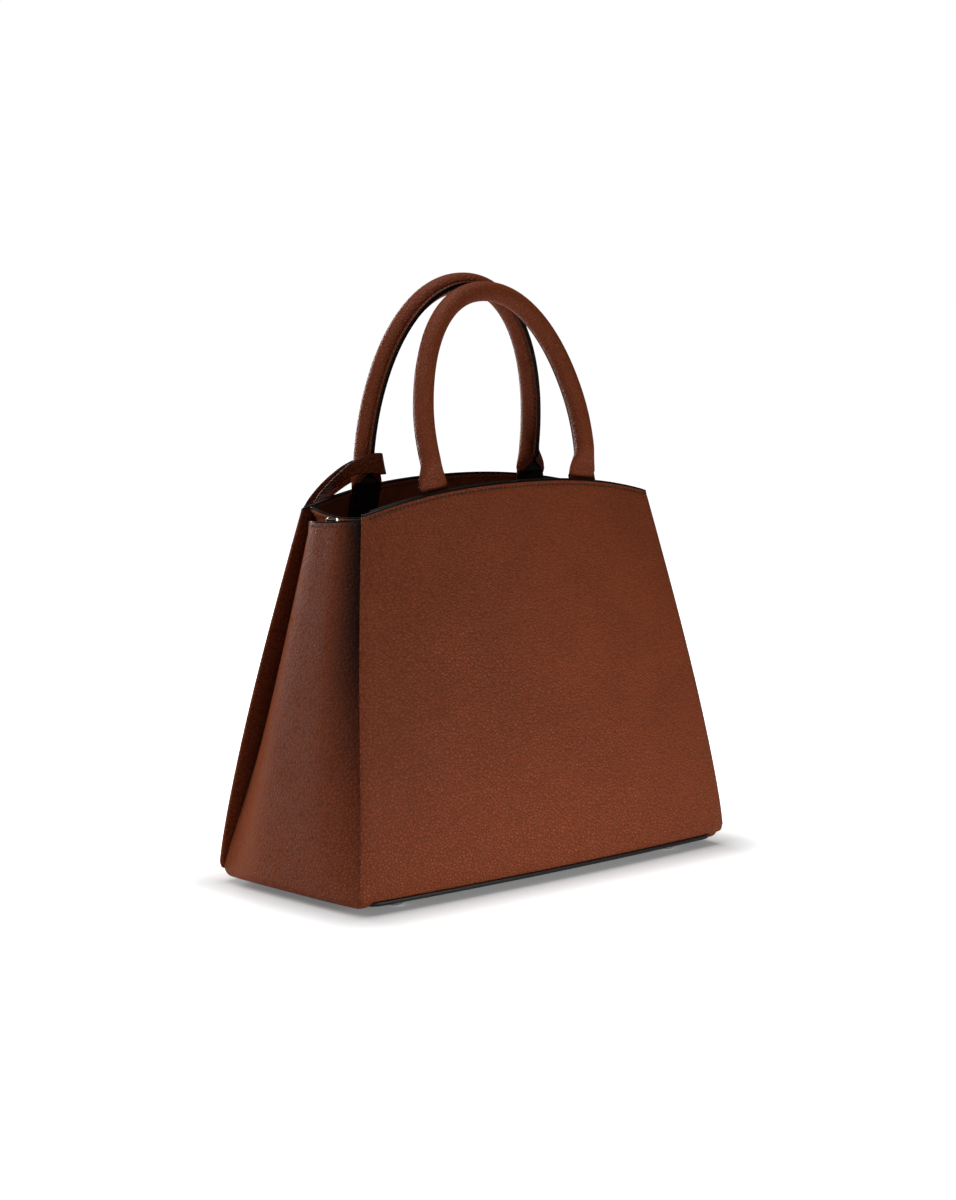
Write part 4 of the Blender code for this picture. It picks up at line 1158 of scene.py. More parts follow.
def handle_stations(side, lean, places, foot=None):
    """Centre, across and inward vectors and half sizes at lengths along a handle.

    Lengths below 0 run down the panel's inside from the first foot's hinge. The half sizes go
    from a flat foot to the round tube by a smooth step; below the hinge the foot thins out.
    """
    h = handle()
    step, lead, sewn = 1 * mm, 2 * mm, 1.2 * mm
    line = handle_centre(side, lean)
    if foot == "right":
        line = line[::-1]
    total = line_length(line)
    above = np.clip(places, 0, total)
    before, after = (resample(line, np.clip(above + way, 0, total)) for way in (-step, step))
    fall = np.minimum(places, 0) - np.maximum(places - total, 0)
    from_foot = np.minimum(places, total - places)
    x, _, z = hinge_place(side)
    centre = resample(line, above)
    low_x = np.sign(centre[:, 0]) * x
    wall = surface(low_x, share_at(low_x, z + fall), h.foot_depth_in, side)
    centre = np.where((fall < 0)[:, None], wall, centre)
    tilt = h.wall_lean + (lean - h.wall_lean) * np.clip((from_foot + lead) / h.foot, 0, 1)
    inward = np.stack([np.zeros(len(places)), -side * np.cos(tilt), -np.sin(tilt)], axis=-1)
    crossed = np.cross(unit(after - before), inward)
    level = np.sign(crossed[:, :1]) * np.array([[1.0, 0, 0]])
    part = np.clip(from_foot / h.foot, 0, 1)[:, None]
    beside = unit(level * (1 - part) + crossed * part)
    ease = smooth(from_foot / h.foot)
    flat = h.foot_width if side < 0 else h.rear_foot_width
    wide = flat + (h.radius - flat) * ease
    sink = np.clip(-from_foot / h.above_rim, 0, 1)
    deep = (h.foot_depth + (h.radius - h.foot_depth) * ease) * (1 - sink) + sewn * sink
    return centre, beside, inward, wide, deep, from_foot


def wrapper_section(wide, deep, from_foot):
    """Middle line of the wrapped leather at each station, as rows of (across, inward).

    From the seam's tip it runs down one ply, round an ellipse, and up the other ply. Near the
    foot the plies give way to an opening whose edges part until they reach the foot's sides.
    """
    h = handle()
    half_wall, lip, parting = h.wall / 2, 0.8 * mm, 5 * mm
    a, b = (wide - half_wall)[:, None], (deep - half_wall)[:, None]
    start = PLY_GAP / (h.radius - half_wall)
    part = np.clip((h.opening - from_foot) / (h.opening + h.above_rim), 0, 1)[:, None]
    edge = np.arcsin(np.clip(start + (1 - start) * part, 0, 0.9999))
    fade = smooth((from_foot - h.opening) / parting)[:, None]
    stand = lip + (h.seam + half_wall - lip) * fade
    turn = edge + (math.tau - 2 * edge) * np.linspace(0, 1, 49)[None]
    arc = np.stack([a * np.sin(turn), b * np.cos(turn)], axis=-1)
    slope = unit(np.stack([-a * np.cos(edge), b * np.sin(edge)], axis=-1))
    upright = np.array([0.0, 1.0])
    lead = unit(upright * fade[..., None] + slope * (1 - fade[..., None]))
    bend = EDGE_TURN * (1 - np.cos(np.linspace(0, math.pi / 2, 5)) ** 0.6)
    run = np.concatenate([np.broadcast_to(bend[None], (len(a), 5)),
                          EDGE_TURN + (stand - EDGE_TURN) * np.linspace(0, 1, 4)[None, 1:-1]],
                         axis=1)
    ply = arc[:, :1] + lead * (stand - run)[..., None]
    section = np.concatenate([ply, arc, (ply * [-1, 1])[:, ::-1]], axis=1)
    from_edge = np.concatenate([run, np.full(arc.shape[:2], 1.0), run[:, ::-1]], axis=1)
    return section, from_edge


def hinge_blend(piece, side):
    """Bakes a piece's placing into its mesh; the handle's hinge is looked up but not used."""
    _, y, z = hinge_place(side)
    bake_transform(piece)


def make_handle(name, side, lean):
    """Wrapped leather of one handle, open at its feet, its cord and its seam's stitches."""
    h = handle()
    below, above, thinned = 8 * mm, h.foot + 8 * mm, 0.4
    cord_gap, seam_start, stitch_stand = 0.3 * mm, h.opening + 4 * mm, 0.9 * mm
    paint_reach, paint_fade, edge_power = 0.62 * mm, 0.2 * mm, 3.3
    total = line_length(handle_centre(side, lean))
    near = spaced(below + above, EDGE_TURN, 0, 26)[:-1] - below
    places = np.concatenate([near, np.linspace(above, total - above, 130), total - near[::-1]])
    centre, beside, inward, wide, deep, from_foot = handle_stations(side, lean, places)
    section, from_edge = wrapper_section(wide, deep, from_foot)
    middle = (centre[:, None] + section[..., :1] * beside[:, None]
              + section[..., 1:] * inward[:, None])
    wall = h.wall * (1 - thinned * np.clip(-from_foot / h.above_rim, 0, 1))[:, None]
    rise = (shoulder(from_edge, EDGE_TURN, edge_power)
            * shoulder(from_foot + below, EDGE_TURN)[:, None])
    outer, inner = thicken(middle, 1.0, rise * wall)
    piece = slab(f"{name}_handle_leather", outer, inner, "leather",
                 fading(from_edge, paint_reach, paint_fade), rides=None,
                 nodes=[f"{name}_handle_cover", f"{name}_handle_left_tongue",
                        f"{name}_handle_right_tongue"])
    hinge_blend(piece, side)
    spots = np.linspace(h.foot, total - h.foot, 120)
    centre, beside, inward, _, deep, _ = handle_stations(side, lean, spots)
    reach = (deep - h.wall - cord_gap)[:, None, None]
    loft(f"{name}_handle_cord", hoops(centre, beside, inward, reach, 20), "rope",
         rides=f"{name}_handle", nodes=[f"{name}_handle_core"])
    spots = np.linspace(seam_start, total - seam_start, 500)
    centre, beside, inward, *_ = handle_stations(side, lean, spots)
    crest = centre + inward * (h.radius + stitch_stand)
    runs = [(crest + beside * sign * (PLY_GAP + h.wall / 2), beside * sign) for sign in (-1, 1)]
    stitches(f"{name}_handle_stitches", runs, rides=f"{name}_handle", slot="grained_leather")


def make_tab(name, side, lean, foot):
    """Black backing of one foot: a pad in the seam's opening that thins to a sewn tab.

    Its section is a superellipse whose inward half swells at the hinge; it narrows upwards into
    the seam and rounds off at its lower end.
    """
    h = handle()
    tab_half, tab_front, tab_corner, swelling = 12 * mm, 1.2 * mm, 6 * mm, 4 * mm
    pad_side, pad_top, pad_front, thinning = 1 * mm, 3 * mm, 0.5 * mm, 8 * mm
    seam_half, seam_low, seam_corner, flatness = 10.6 * mm, 2.4 * mm, 4.6 * mm, 1.35
    lowest, highest = -(h.above_rim + h.tab_drop), h.opening + pad_top
    bend = tab_corner * (1 - np.cos(np.linspace(0.1, math.pi / 2, 8)))
    places = lowest + np.sort(np.concatenate([
        spaced(highest - lowest, EDGE_TURN, EDGE_TURN, 46), bend]))
    centre, beside, inward, wide, deep, from_foot = handle_stations(side, lean, places, foot)
    above = from_foot > 0
    low = 1 - np.clip(-from_foot / thinning, 0, 1)
    up = np.clip(from_foot / h.opening, 0, 1)
    corner = np.clip(1 - (places - lowest) / tab_corner, 0, 1)
    half = (np.where(above, wide - pad_side - 2 * mm * up, tab_half - 0.5 * mm * low)
            - tab_corner * (1 - np.sqrt(1 - corner ** 2)))
    swell = (h.foot_depth - tab_front - pad_front) * (1 - np.clip(-from_foot / swelling, 0, 1))
    front = np.where(above, deep - pad_front - (h.wall - 0.2 * mm) * up, tab_front + swell)
    rear = np.where(above, deep - h.wall - 0.1 * mm, tab_front - 0.9 * mm * low)
    rear = np.maximum(rear, 0.25 * mm)
    end = shoulder(places - lowest, EDGE_TURN) * shoulder(highest - places, EDGE_TURN)
    turn = angles(40)
    x, n = powered(np.cos(turn), 0.45), powered(np.sin(turn), 0.8)
    thick = np.where(n[None] > 0, front[:, None], rear[:, None]) * np.maximum(end, 0.04)[:, None]
    rings = (centre[:, None] + (half[:, None] * x)[..., None] * beside[:, None]
             + (thick * n)[..., None] * inward[:, None])
    piece = loft(f"{name}_{foot}_tab", rings, "backing", rides=None,
                 nodes=[f"{name}_{foot}_anchor"])
    hinge_blend(piece, side)
    spots = np.linspace(lowest + seam_low + seam_corner, -h.above_rim - 2 * mm, 60)
    centre, beside, inward, *_ = handle_stations(side, lean, spots, foot)
    right, left = (centre + beside * sign * seam_half + inward * tab_front for sign in (1, -1))
    arc = np.linspace(0, math.pi, 40)
    spots = lowest + seam_low + seam_corner * (1 - np.sin(arc) ** 0.5)
    centre, beside, low_inward, *_ = handle_stations(side, lean, spots, foot)
    reach = np.clip(np.cos(arc) * flatness, -1, 1)[:, None] * seam_half
    bottom = centre + beside * reach + low_inward * tab_front
    line = np.concatenate([right[::-1], bottom, left])
    normals = np.concatenate([inward[::-1], low_inward, inward])
    stitches(f"{name}_{foot}_tab_stitches", [(line, normals)], slot="black_leather")


def spline(knots, count):
    """Smooth curve through knots: cubic pieces whose slopes come from their neighbours."""
    knots = np.asarray(knots, float)
    chord = np.concatenate([[0], np.cumsum(np.linalg.norm(np.diff(knots[:, :3], axis=0), axis=1))])
    slopes = np.stack([np.gradient(knots[:, k], chord) for k in range(knots.shape[1])], axis=-1)
    places = np.linspace(0, chord[-1], count)
    k = np.clip(np.searchsorted(chord, places, side='right') - 1, 0, len(chord) - 2)
    span = (chord[k + 1] - chord[k])[:, None]
    t = ((places - chord[k])[:, None]) / span
    return ((2 * t ** 3 - 3 * t ** 2 + 1) * knots[k] + (t ** 3 - 2 * t ** 2 + t) * span * slopes[k]
            + (3 * t ** 2 - 2 * t ** 3) * knots[k + 1] + (t ** 3 - t ** 2) * span * slopes[k + 1])


STRAP = (       # X, Y and Z in millimetres, turn, and width in millimetres
    (-98.9, 50.6, 217.0, 1.0, 10.5), (-99.2, 47.5, 226.5, 1.0, 10.5),
    (-99.6, 41.5, 236.0, 1.0, 10.0), (-99.0, 35.2, 243.8, 1.0, 9.0),
    (-96.5, 30.5, 249.5, 0.9, 8.2), (-92.5, 25.5, 255.2, 0.65, 8.2),
    (-86.5, 21.8, 260.0, 0.3, 9.2), (-79.0, 20.0, 262.2, 0.05, 11.6),
    (-71.5, 19.6, 262.4, 0.0, 13.2), (-64.5, 20.4, 261.8, 0.0, 13.5),
    (-60.0, 25.0, 261.0, 0.0, 13.5), (-60.5, 32.5, 260.0, 0.0, 13.5),
    (-66.0, 38.2, 258.5, 0.0, 13.2), (-75.0, 40.5, 255.2, 0.05, 13.0),
    (-85.0, 42.5, 249.4, 0.25, 12.5), (-93.5, 44.8, 242.6, 0.6, 12.0),
    (-99.0, 47.5, 236.0, 0.9, 11.5), (-101.5, 50.4, 229.5, 1.0, 11.0),
    (-100.5, 52.6, 222.5, 1.0, 10.5), (-98.9, 53.2, 217.0, 1.0, 10.5))


def strip(name, path, wide_way, widths, thickness, paint, columns=15, **kind):
    """Painted leather ribbon along a path, as wide as given at each point.

    Its grid runs across along wide_way, less its share along the path; its border is rounded
    over, and painted from the reach and fade that paint gives.
    """
    widths = np.broadcast_to(widths, len(path))
    heading = unit(np.gradient(path, axis=0))
    wide_way = unit(wide_way - heading * np.sum(wide_way * heading, axis=1, keepdims=True))
    edge, half = thickness / 2, float(np.max(widths)) / 2
    spots = spaced(2 * half, edge, edge, columns) - half
    reach = (spots / half)[None, :, None] * (widths / 2)[:, None, None]
    middle = path[:, None] + reach * wide_way[:, None]
    way = way_along(path)
    from_edge = np.broadcast_to((half - np.abs(spots))[None], middle.shape[:2])
    rise = (shoulder(from_edge, edge) * shoulder(way, edge)[:, None]
            * shoulder(way[-1] - way, edge)[:, None])
    outer, inner = thicken(middle, thickness, rise)
    return slab(name, outer, inner, "leather", fading(from_edge, *paint), **kind)


def make_strap():
    """One ribbon from the tag over the rim, round the rear handle's foot, and back to the tag.

    A knot's fourth number turns it from standing on edge round the foot to lying flat over the
    rim; the fifth is the ribbon's width.
    """
    knots = spline(np.array(STRAP) * [mm, mm, mm, 1, mm], 280)
    flat = np.clip(knots[:, 3], 0, 1)[:, None] * math.pi / 2
    upright, level = np.array([[-0.24, 0.0, 1.0]]), np.array([[-1.0, 0.0, 0.0]])
    wide_way = unit(upright * np.cos(flat) + level * np.sin(flat))
    piece = strip("tag_strap_leather", knots[:, :3], wide_way, knots[:, 4], 1.3 * mm,
                  STRAP_PAINT, rides=None, nodes=["tag_strap", "tag_loop"])
    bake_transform(piece)


def rounded_outline(half_x, half_y, radius, steps=10, sides=(8, 8)):
    """Rounded rectangle as a closed row of points, with points along its sides too."""
    points = []
    turns = np.linspace(0, math.pi / 2, steps)
    corners = ((1, 1), (-1, 1), (-1, -1), (1, -1))
    for quarter, (sx, sy) in enumerate(corners):
        angle = turns + quarter * math.pi / 2
        arc = radius * np.stack([np.cos(angle), np.sin(angle)], axis=-1)
        centre, after = (np.array([kx * (half_x - radius), ky * (half_y - radius)])
                         for kx, ky in ((sx, sy), corners[(quarter + 1) % 4]))
        along = np.linspace(0, 1, sides[quarter % 2] + 2)[1:-1, None]
        points += [centre + arc, centre + arc[-1] + (after - centre) * along]
    return np.concatenate(points)


def make_tag():
    """Hang tag: rounded rectangles drawn in along a superellipse, painted on the edge."""
    size = trim()
    half, edge, welt, dent = 1.3 * mm, 0.7 * mm, 0.35 * mm, 0.18 * mm
    corner, seam, seam_corner, gap, bend = 5 * mm, 3.4 * mm, 3 * mm, 0.8 * mm, 2.5 * mm
    top = np.array(next(j["pos_m"] for j in frame["joints"] if j["name"] == "tag_flip"))
    middle = top - [0, 0, size.tag_length / 2 + gap]
    steps = [(inset, half - welt + lift, 0.0) for inset, lift in (
        (12 * mm, welt), (corner, dent), (seam, -dent), (2.2 * mm, 0.0))]
    steps += [(edge * (1 - math.sin(a)), half - welt - edge * (1 - math.cos(a)), 1.0)
              for a in np.linspace(0, math.pi / 2, 6)]
    rings, paint = [], []
    for inset, y, tint in [(inset, -y, tint) for inset, y, tint in steps] + steps[::-1]:
        outline = rounded_outline(size.tag_width / 2 - inset, size.tag_length / 2 - inset,
                                  max(corner - inset, gap))
        rings.append(flat_ring(outline, y, middle))
        paint.append(np.full(len(outline), tint))
    loft("hang_tag_leather", rings, "leather", paint=np.array(paint), rides="hang_tag",
         nodes=["hang_tag"])
    outline = rounded_outline(size.tag_width / 2 - seam, size.tag_length / 2 - seam,
                              seam_corner, steps=6)
    outline = np.concatenate([outline, outline[:1]])
    runs = [(flat_ring(outline, sign * (half - 0.5 * mm), middle),
             np.tile([0.0, sign, 0.0], (len(outline), 1))) for sign in (-1, 1)]
    stitches("hang_tag_stitches", runs, rides="hang_tag", slot="grained_leather")
    knots = ((0.9, 5), (0.8, 2), (0.7, -2), (1.5, -6), (1.75, -11))
    path = spline(np.array([top + [0, out * mm, up * mm] for out, up in knots]), 40)
    piece = strip("hang_tag_neck", path, np.array([[1.0, 0, 0]]), 9 * mm, 1.2 * mm,
                  STRAP_PAINT, columns=9, rides=None)
    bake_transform(piece)


def ring_place(side):
    """Middle of a strap ring's lower bar, and how far its slot leans inwards."""
    g, b = gusset(), body()
    level = dipped(1 - g.drop / body_height(), 0, (g.dip, 0)) - g.ring_drop / body_height()
    below = level - RING_TAB / body_height()
    bar, lower = (gusset_point(side, np.array(0.0), s, 0, 0) for s in (level, below))
    x = abs(bar[0]) - g.thickness - b.clearance - g.slot / 2
    return np.array([side * x, 0, bar[2]]), (lower[0] - bar[0]) / RING_TAB


def make_rings():
    """Strap rings: a wire carried round a rounded rectangle; and the leather loops on them."""
    size = trim()
    outline = rounded_outline(size.ring_width - size.ring_wire, size.ring_rise / 2,
                              size.ring_corner, steps=8, sides=(4, 4))
    up = outline[:, 1] + size.ring_rise / 2
    bend = size.ring_wire + 0.7 * mm
    turns = np.linspace(0, math.pi, 21)
    arc = bend * np.stack([np.cos(turns), np.sin(turns)], axis=-1)
    down = np.linspace(-RING_TAB, 0, 16)[:-1]
    legs = [np.stack([np.full(len(down), x), z], axis=-1) for x, z in ((bend, down),
                                                                     (-bend, down[::-1]))]
    loop = np.concatenate([legs[0], arc, legs[1]])
    for name, side in ENDS:
        place, lean = ring_place(side)
        line = np.column_stack([-lean * up, outline[:, 0], up]) + place
        heading = unit(np.roll(line, -1, axis=0) - np.roll(line, 1, axis=0))
        flat = unit(np.cross(heading, [1.0, 0, lean]))
        rings = hoops(line, flat, np.cross(flat, heading), size.ring_wire, 14)
        loft(f"{name}_ring_wire", rings, "steel", closed=True, rides=f"{name}_ring",
             nodes=[f"{name}_ring"])
        path = place + np.column_stack([loop[:, 0] - lean * np.minimum(loop[:, 1], 0),
                                        np.zeros(len(loop)), loop[:, 1]])
        strip(f"{name}_ring_tab_leather", path, np.array([[0.0, 1, 0]]), 7.6 * mm, 0.8 * mm,
              (0.35 * mm, 0.15 * mm), columns=7, nodes=[f"{name}_ring_tab"])


def rounded_step(radius, height, bevel):
    """Radius and height round the upper edge of a turned cap."""
    return [(radius - bevel * (1 - math.cos(a)), height - bevel * (1 - math.sin(a)))
            for a in np.linspace(0, math.pi / 2, 5)]


def make_snap():
    """Magnetic snap: turned caps with a rounded edge, a stud and its socket."""
    b = body()
    below_rim, cap, thickness, bevel = 17 * mm, 7.5 * mm, 2.4 * mm, 0.5 * mm
    stud, stud_height, dish, bore = 3.2 * mm, 4 * mm, 2.2 * mm, 3.5 * mm
    ledge, sunk = 5.6 * mm, 5.4 * mm
    z = b.corner_height + b.rim_rise - below_rim
    s, step = float(share_at(0, z)), cap / body_height()
    low, high = (surface(0.0, at, b.panel + b.facing + 2 * b.clearance, 1)
                 for at in (s - step, s + step))
    lean = math.atan2(low[1] - high[1], high[2] - low[2])
    y = (low[1] + high[1]) / 2
    face = [(0, 0), (cap, 0), *rounded_step(cap, thickness, bevel), (ledge, thickness)]
    post = [*face, (sunk, dish), (stud, dish), *rounded_step(stud, stud_height, 0.3 * mm),
            (0, stud_height)]
    socket = [*face, (sunk, dish), (bore + bevel, dish), (bore, 2 * mm), (bore, bevel),
              (0, bevel)]
    lathe("snap_post_cap", post, (0, -y, z), "plated", tilt=-math.pi / 2 - lean, sharp=50,
          nodes=["snap_post"])
    lathe("snap_socket_cap", socket, (0, y, z), "plated", tilt=math.pi / 2 + lean, sharp=50,
          nodes=["snap_socket"])


def zip_plane():
    """Y of the zip's middle line, its slope with height, and its height."""
    b = body()
    z = 182 * mm
    low, high = (float(share_at(ZIP_HALF, z + way)) for way in (-TAPE_HALF, TAPE_HALF))
    ends = surface(np.full(2, ZIP_HALF), np.array([low, high]), b.lining_depth + b.clearance, 1)
    slope = (ends[1, 1] - ends[0, 1]) / (ends[1, 2] - ends[0, 2])
    return float(ends[:, 1].mean()), float(slope), z


def zip_point(x, h, front):
    """Point in the zip's plane: x along it, h above its middle, front before the tape's back."""
    y, slope, z = zip_plane()
    return np.stack(np.broadcast_arrays(x, y + slope * h - front, z + h), axis=-1)


def make_zip():
    """Tape with a raised cord beside the teeth, teeth, slider with its crown, and puller."""
    size = trim()
    half, chain, start, seam_half, seam_place = 0.4 * mm, 147 * mm, 64.5 * mm, 76 * mm, 6.6 * mm
    ridge_place, ridge_half, ridge_height = 3.1 * mm, 0.5 * mm, 0.25 * mm
    tooth_half, tooth_radius, tooth_place, tooth_front = 1.55 * mm, 0.62 * mm, 0.85 * mm, 1.85 * mm
    u = spaced(2 * ZIP_HALF, half, half, 60)[None] - ZIP_HALF
    v = spaced(2 * TAPE_HALF, half, half, 24)[:, None] - TAPE_HALF
    rise = shoulder(ZIP_HALF - np.abs(u), half) * shoulder(TAPE_HALF - np.abs(v), half)
    ridge = ridge_height * np.exp(-((np.abs(v) - ridge_place) / ridge_half) ** 2)
    front = zip_point(u, v, half + rise * half + ridge * rise)
    back = zip_point(u, v, half - rise * half)
    piece = slab("zip_tape_cloth", front, back, "tape", nodes=["zip_tape"])
    cloth(piece, (front + back) / 2, "stretched", ["rear_lining_cloth"])
    x = np.linspace(-seam_half, seam_half, 200)
    runs = [(zip_point(x, sign * seam_place, 2 * half + 0.05 * mm),
             np.tile([0.0, -1.0, 0.0], (len(x), 1))) for sign in (-1, 1)]
    stitches("zip_tape_stitches", runs, slot="zip_tape")
    template = pebble_template(tooth_half, tooth_radius, rows=3, power=0.45)
    number = np.arange(2 * int(chain / size.tooth_pitch))
    x = (number - len(number) / 2 + 0.5) * size.tooth_pitch / 2
    h = np.where(number % 2 == 0, tooth_place, -tooth_place)
    upright, along = unit(np.array([0.0, zip_plane()[1], 1.0])), [1.0, 0, 0]
    frames = np.tile(np.stack([upright, along, np.cross(upright, along)]), (len(x), 1, 1))
    repeated("zip_teeth", template, zip_point(x, h, tooth_front), frames, "plated",
             nodes=["zip_chain"])
    slider_back = 2 * half + TOOTH_DEPTH + 2 * body().clearance
    make_slider(start, slider_back)
    make_puller(start, slider_back + SLIDER_DEPTH + body().clearance)


def make_slider(start, back):
    """Slider: rounded box rings under a small round post.

    The box's pairs are a share of its size and a depth, the post's a radius and a depth, in mm.
    """
    half_x, half_z, squareness = 4.5 * mm, 3.6 * mm, 0.45
    box = ((0.86, 0.0), (0.97, 0.15), (1.0, 0.4), (1.0, 1.7), (0.95, 2.05), (0.8, 2.2))
    post = ((1.6, 2.25), (1.6, 3.6), (1.45, 3.85), (1.1, 4.0))
    turn = angles(40)
    x, z = powered(np.cos(turn), squareness), powered(np.sin(turn), squareness)
    rings = [zip_point(start + half_x * grow * x, half_z * grow * z, back + deep * mm)
             for grow, deep in box]
    rings += [zip_point(start + radius * mm * np.cos(turn), radius * mm * np.sin(turn),
                        back + deep * mm) for radius, deep in post]
    loft("zip_slider_body", rings, "plated", sharp=45, rides="zip_slider",
         nodes=["zip_slider"])


def make_puller(start, back):
    """Puller: a drop-shaped plate round its eye, its outline drawn in near both faces.

    The edge's pairs are a growth of the outline and a depth, in mm.
    """
    eye, half, reach, thickness = 1.9 * mm, 2.6 * mm, 20 * mm, 1.4 * mm
    edge = ((-0.3, 0.0), (-0.08, 0.1), (0.0, 0.3), (0.0, 1.1), (-0.08, 1.3), (-0.3, 1.4))
    turn = angles(48)
    circle = np.stack([np.cos(turn), np.sin(turn)], axis=-1)
    lower = circle[:, 1] < -0.05
    inside = [zip_point(start + eye * circle[:, 0], eye * circle[:, 1], back + deep)
              for deep in (0, thickness)]
    rings = [inside[0]]
    for grow, deep in edge:
        loop = circle * (half + grow * mm)
        loop[lower, 1] -= reach - half
        rings.append(zip_point(start + loop[:, 0], loop[:, 1], back + deep * mm))
    rings.append(inside[1])
    loft("zip_puller_plate", rings, "plated", closed=True, sharp=45, rides="zip_puller",
         nodes=["zip_puller"])


def make_pockets():
    """Open pocket with a folded hem on the front lining, and the zip pocket's pouch."""
    b = body()
    half, pocket_low, pocket_high = 70 * mm, 60 * mm, 148 * mm
    hem, hem_edge, hem_stand, hem_seam = 12.5 * mm, 0.6 * mm, 0.3 * mm, 11 * mm
    hem_half, seam = half - 2 * mm, 1.6 * mm
    low, high = (float(share_at(0, z)) for z in (pocket_low, pocket_high))

    def swell(x, drop, sign):
        turned = fading(drop, hem, hem_edge) * hem_stand * (sign > 0)
        return np.broadcast_to(turned[:, None], x.shape)

    outer, inner, _, _ = layer_grid(-1, lambda s: half + 0 * s, low, high,
                                    b.lining_depth + b.clearance, b.lining, b.lining / 2,
                                    rows=40, columns=50, extra=[hem - hem_edge, hem],
                                    swell=swell)
    piece = slab("slip_pocket_cloth", outer, inner, "cloth", nodes=["slip_pocket"])
    cloth(piece, (outer + inner) / 2, "stretched", ["front_lining_cloth"])
    deep = b.lining_depth + b.clearance + b.lining
    sewn = half - seam
    rows = np.linspace(low + 2 * mm / body_height(), high - 1 * mm / body_height(), 120)
    runs = [panel_line(np.linspace(-hem_half, hem_half, 200), high - hem_seam / body_height(),
                       deep + hem_stand, -1, -1)]
    runs += [panel_line(np.full(120, sign * sewn), rows, deep, -1, -1) for sign in (-1, 1)]
    runs.append(panel_line(np.linspace(-sewn, sewn, 200), low + seam / body_height(), deep,
                           -1, -1))
    stitches("slip_pocket_stitches", runs, slot="lining_cloth")
    pouch_half, pouch_height, pouch_wall = 84 * mm, 92 * mm, 0.8 * mm
    pouch_top = zip_plane()[2] + TAPE_HALF
    low, high = (float(share_at(0, z)) for z in (pouch_top - pouch_height, pouch_top))
    outer, inner, _, _ = layer_grid(1, lambda s: pouch_half + 0 * s, low, high,
                                    b.panel + 1 * mm + 2 * b.clearance, pouch_wall,
                                    pouch_wall / 2, rows=30, columns=40)
    piece = slab("zip_pouch_cloth", outer, inner, "cloth", nodes=["zip_pocket_pouch"])
    cloth(piece, (outer + inner) / 2, "stretched", ["rear_stiffener"])


def dress_hidden_nodes():
    """Materials for the solids that stay: boards and washers."""
    washers = [f"{end}_{hand}_washer" for (end, _), (hand, _) in itertools.product(PANELS, ENDS)]
    for look, names in (("board", ("front_stiffener", "rear_stiffener", "base_board")),
                        ("plated", washers)):
        for name in names:
            node = frame["nodes"][name]
            node.data.materials.clear()
            node.data.materials.append(materials[look])


def camera_back():
    """Direction from the camera's target to the camera."""
    azimuth, elevation = stage().azimuth, stage().elevation
    return Vector((-math.sin(azimuth) * math.cos(elevation),
                   -math.cos(azimuth) * math.cos(elevation), math.sin(elevation)))


def make_camera():
    """Camera at the photograph's angle: its axes are worked out from its direction and roll."""
    target = Vector((-0.5 * mm, 0.5 * mm, 171.6 * mm))
    camera = added("camera", bpy.data.cameras.new("camera"))
    camera.data.lens = stage().lens
    camera.data.clip_end = 50.0
    back = camera_back()
    right = Vector((0, 0, 1)).cross(back).normalized()
    up = back.cross(right)
    c, s = math.cos(stage().roll), math.sin(stage().roll)
    right, up = c * right + s * up, c * up - s * right
    turn = Matrix((right, up, back)).transposed().to_4x4()
    camera.matrix_world = Matrix.Translation(target + stage().distance * back) @ turn
    bpy.context.scene.camera = camera


def lamp(name, place, aim, width, height, strength):
    """White area lamp at a place, turned towards its aim."""
    data = bpy.data.lights.new(name, 'AREA')
    data.shape = 'RECTANGLE'
    data.size, data.size_y, data.energy = width, height, strength
    made = added(name, data)
    made.location = place
    made.rotation_euler = (Vector(aim) - Vector(place)).to_track_quat('-Z', 'Y').to_euler()
    made.visible_camera = False


def make_floor():
    """White floor: a wide disc; light of its own, seen only by the camera, grows with distance."""
    footprint, radius, reach, shaded = (155 * mm, 65 * mm, 0.0), 12, 75 * mm, 0.13
    shade = Shade(bpy.data.materials.new("floor"))
    spot = shade.place()
    away = shade.maths('ABSOLUTE', spot, kind="VectorMath")
    away = shade.maths('SUBTRACT', away, footprint, kind="VectorMath")
    away = shade.maths('MAXIMUM', away, BLACK, kind="VectorMath")
    far = shade.maths('LENGTH', away, kind="VectorMath", output=1)
    shine = shade.blend(shade.ramp(far, 0.0, reach, shaded, 1.0), BLACK, WHITE)
    tone = shade.blend(shade.noise(spot, 3.0), lit(WHITE, 0.79), lit(WHITE, 0.81))
    matt = shade.node("BsdfDiffuse", Color=tone)
    both = shade.node("AddShader", _0=matt, _1=shade.node("Emission", Color=shine))
    look = shade.close(shade.node("MixShader", _0=shade.seen(), _1=matt, _2=both))
    turn = angles(96)
    points = np.column_stack([radius * np.cos(turn), radius * np.sin(turn), np.zeros(len(turn))])
    mesh = bpy.data.meshes.new("floor")
    mesh.from_pydata(points.tolist(), [], [list(range(len(turn)))])
    mesh.materials.append(look)
    added("floor", mesh)


def make_world(front, behind):
    """Light blended from the camera's side to the sweep behind, seen as plain white."""
    away, nearest, farthest = (0.55, 0.80, 0.2), -0.4, 0.9
    world = bpy.data.worlds.new("studio")
    bpy.context.scene.world = world
    shade = Shade(world)
    along = shade.maths('DOT_PRODUCT', shade.node("TexCoord"), away, kind="VectorMath", output=1)
    tone = shade.blend(shade.ramp(along, nearest, farthest), (front,) * 3, (behind,) * 3)
    even = shade.node("Background", Color=tone)
    white = shade.node("Background", Color=(*WHITE, 1.0))
    shade.close(shade.node("MixShader", _0=shade.seen(), _1=even, _2=white))


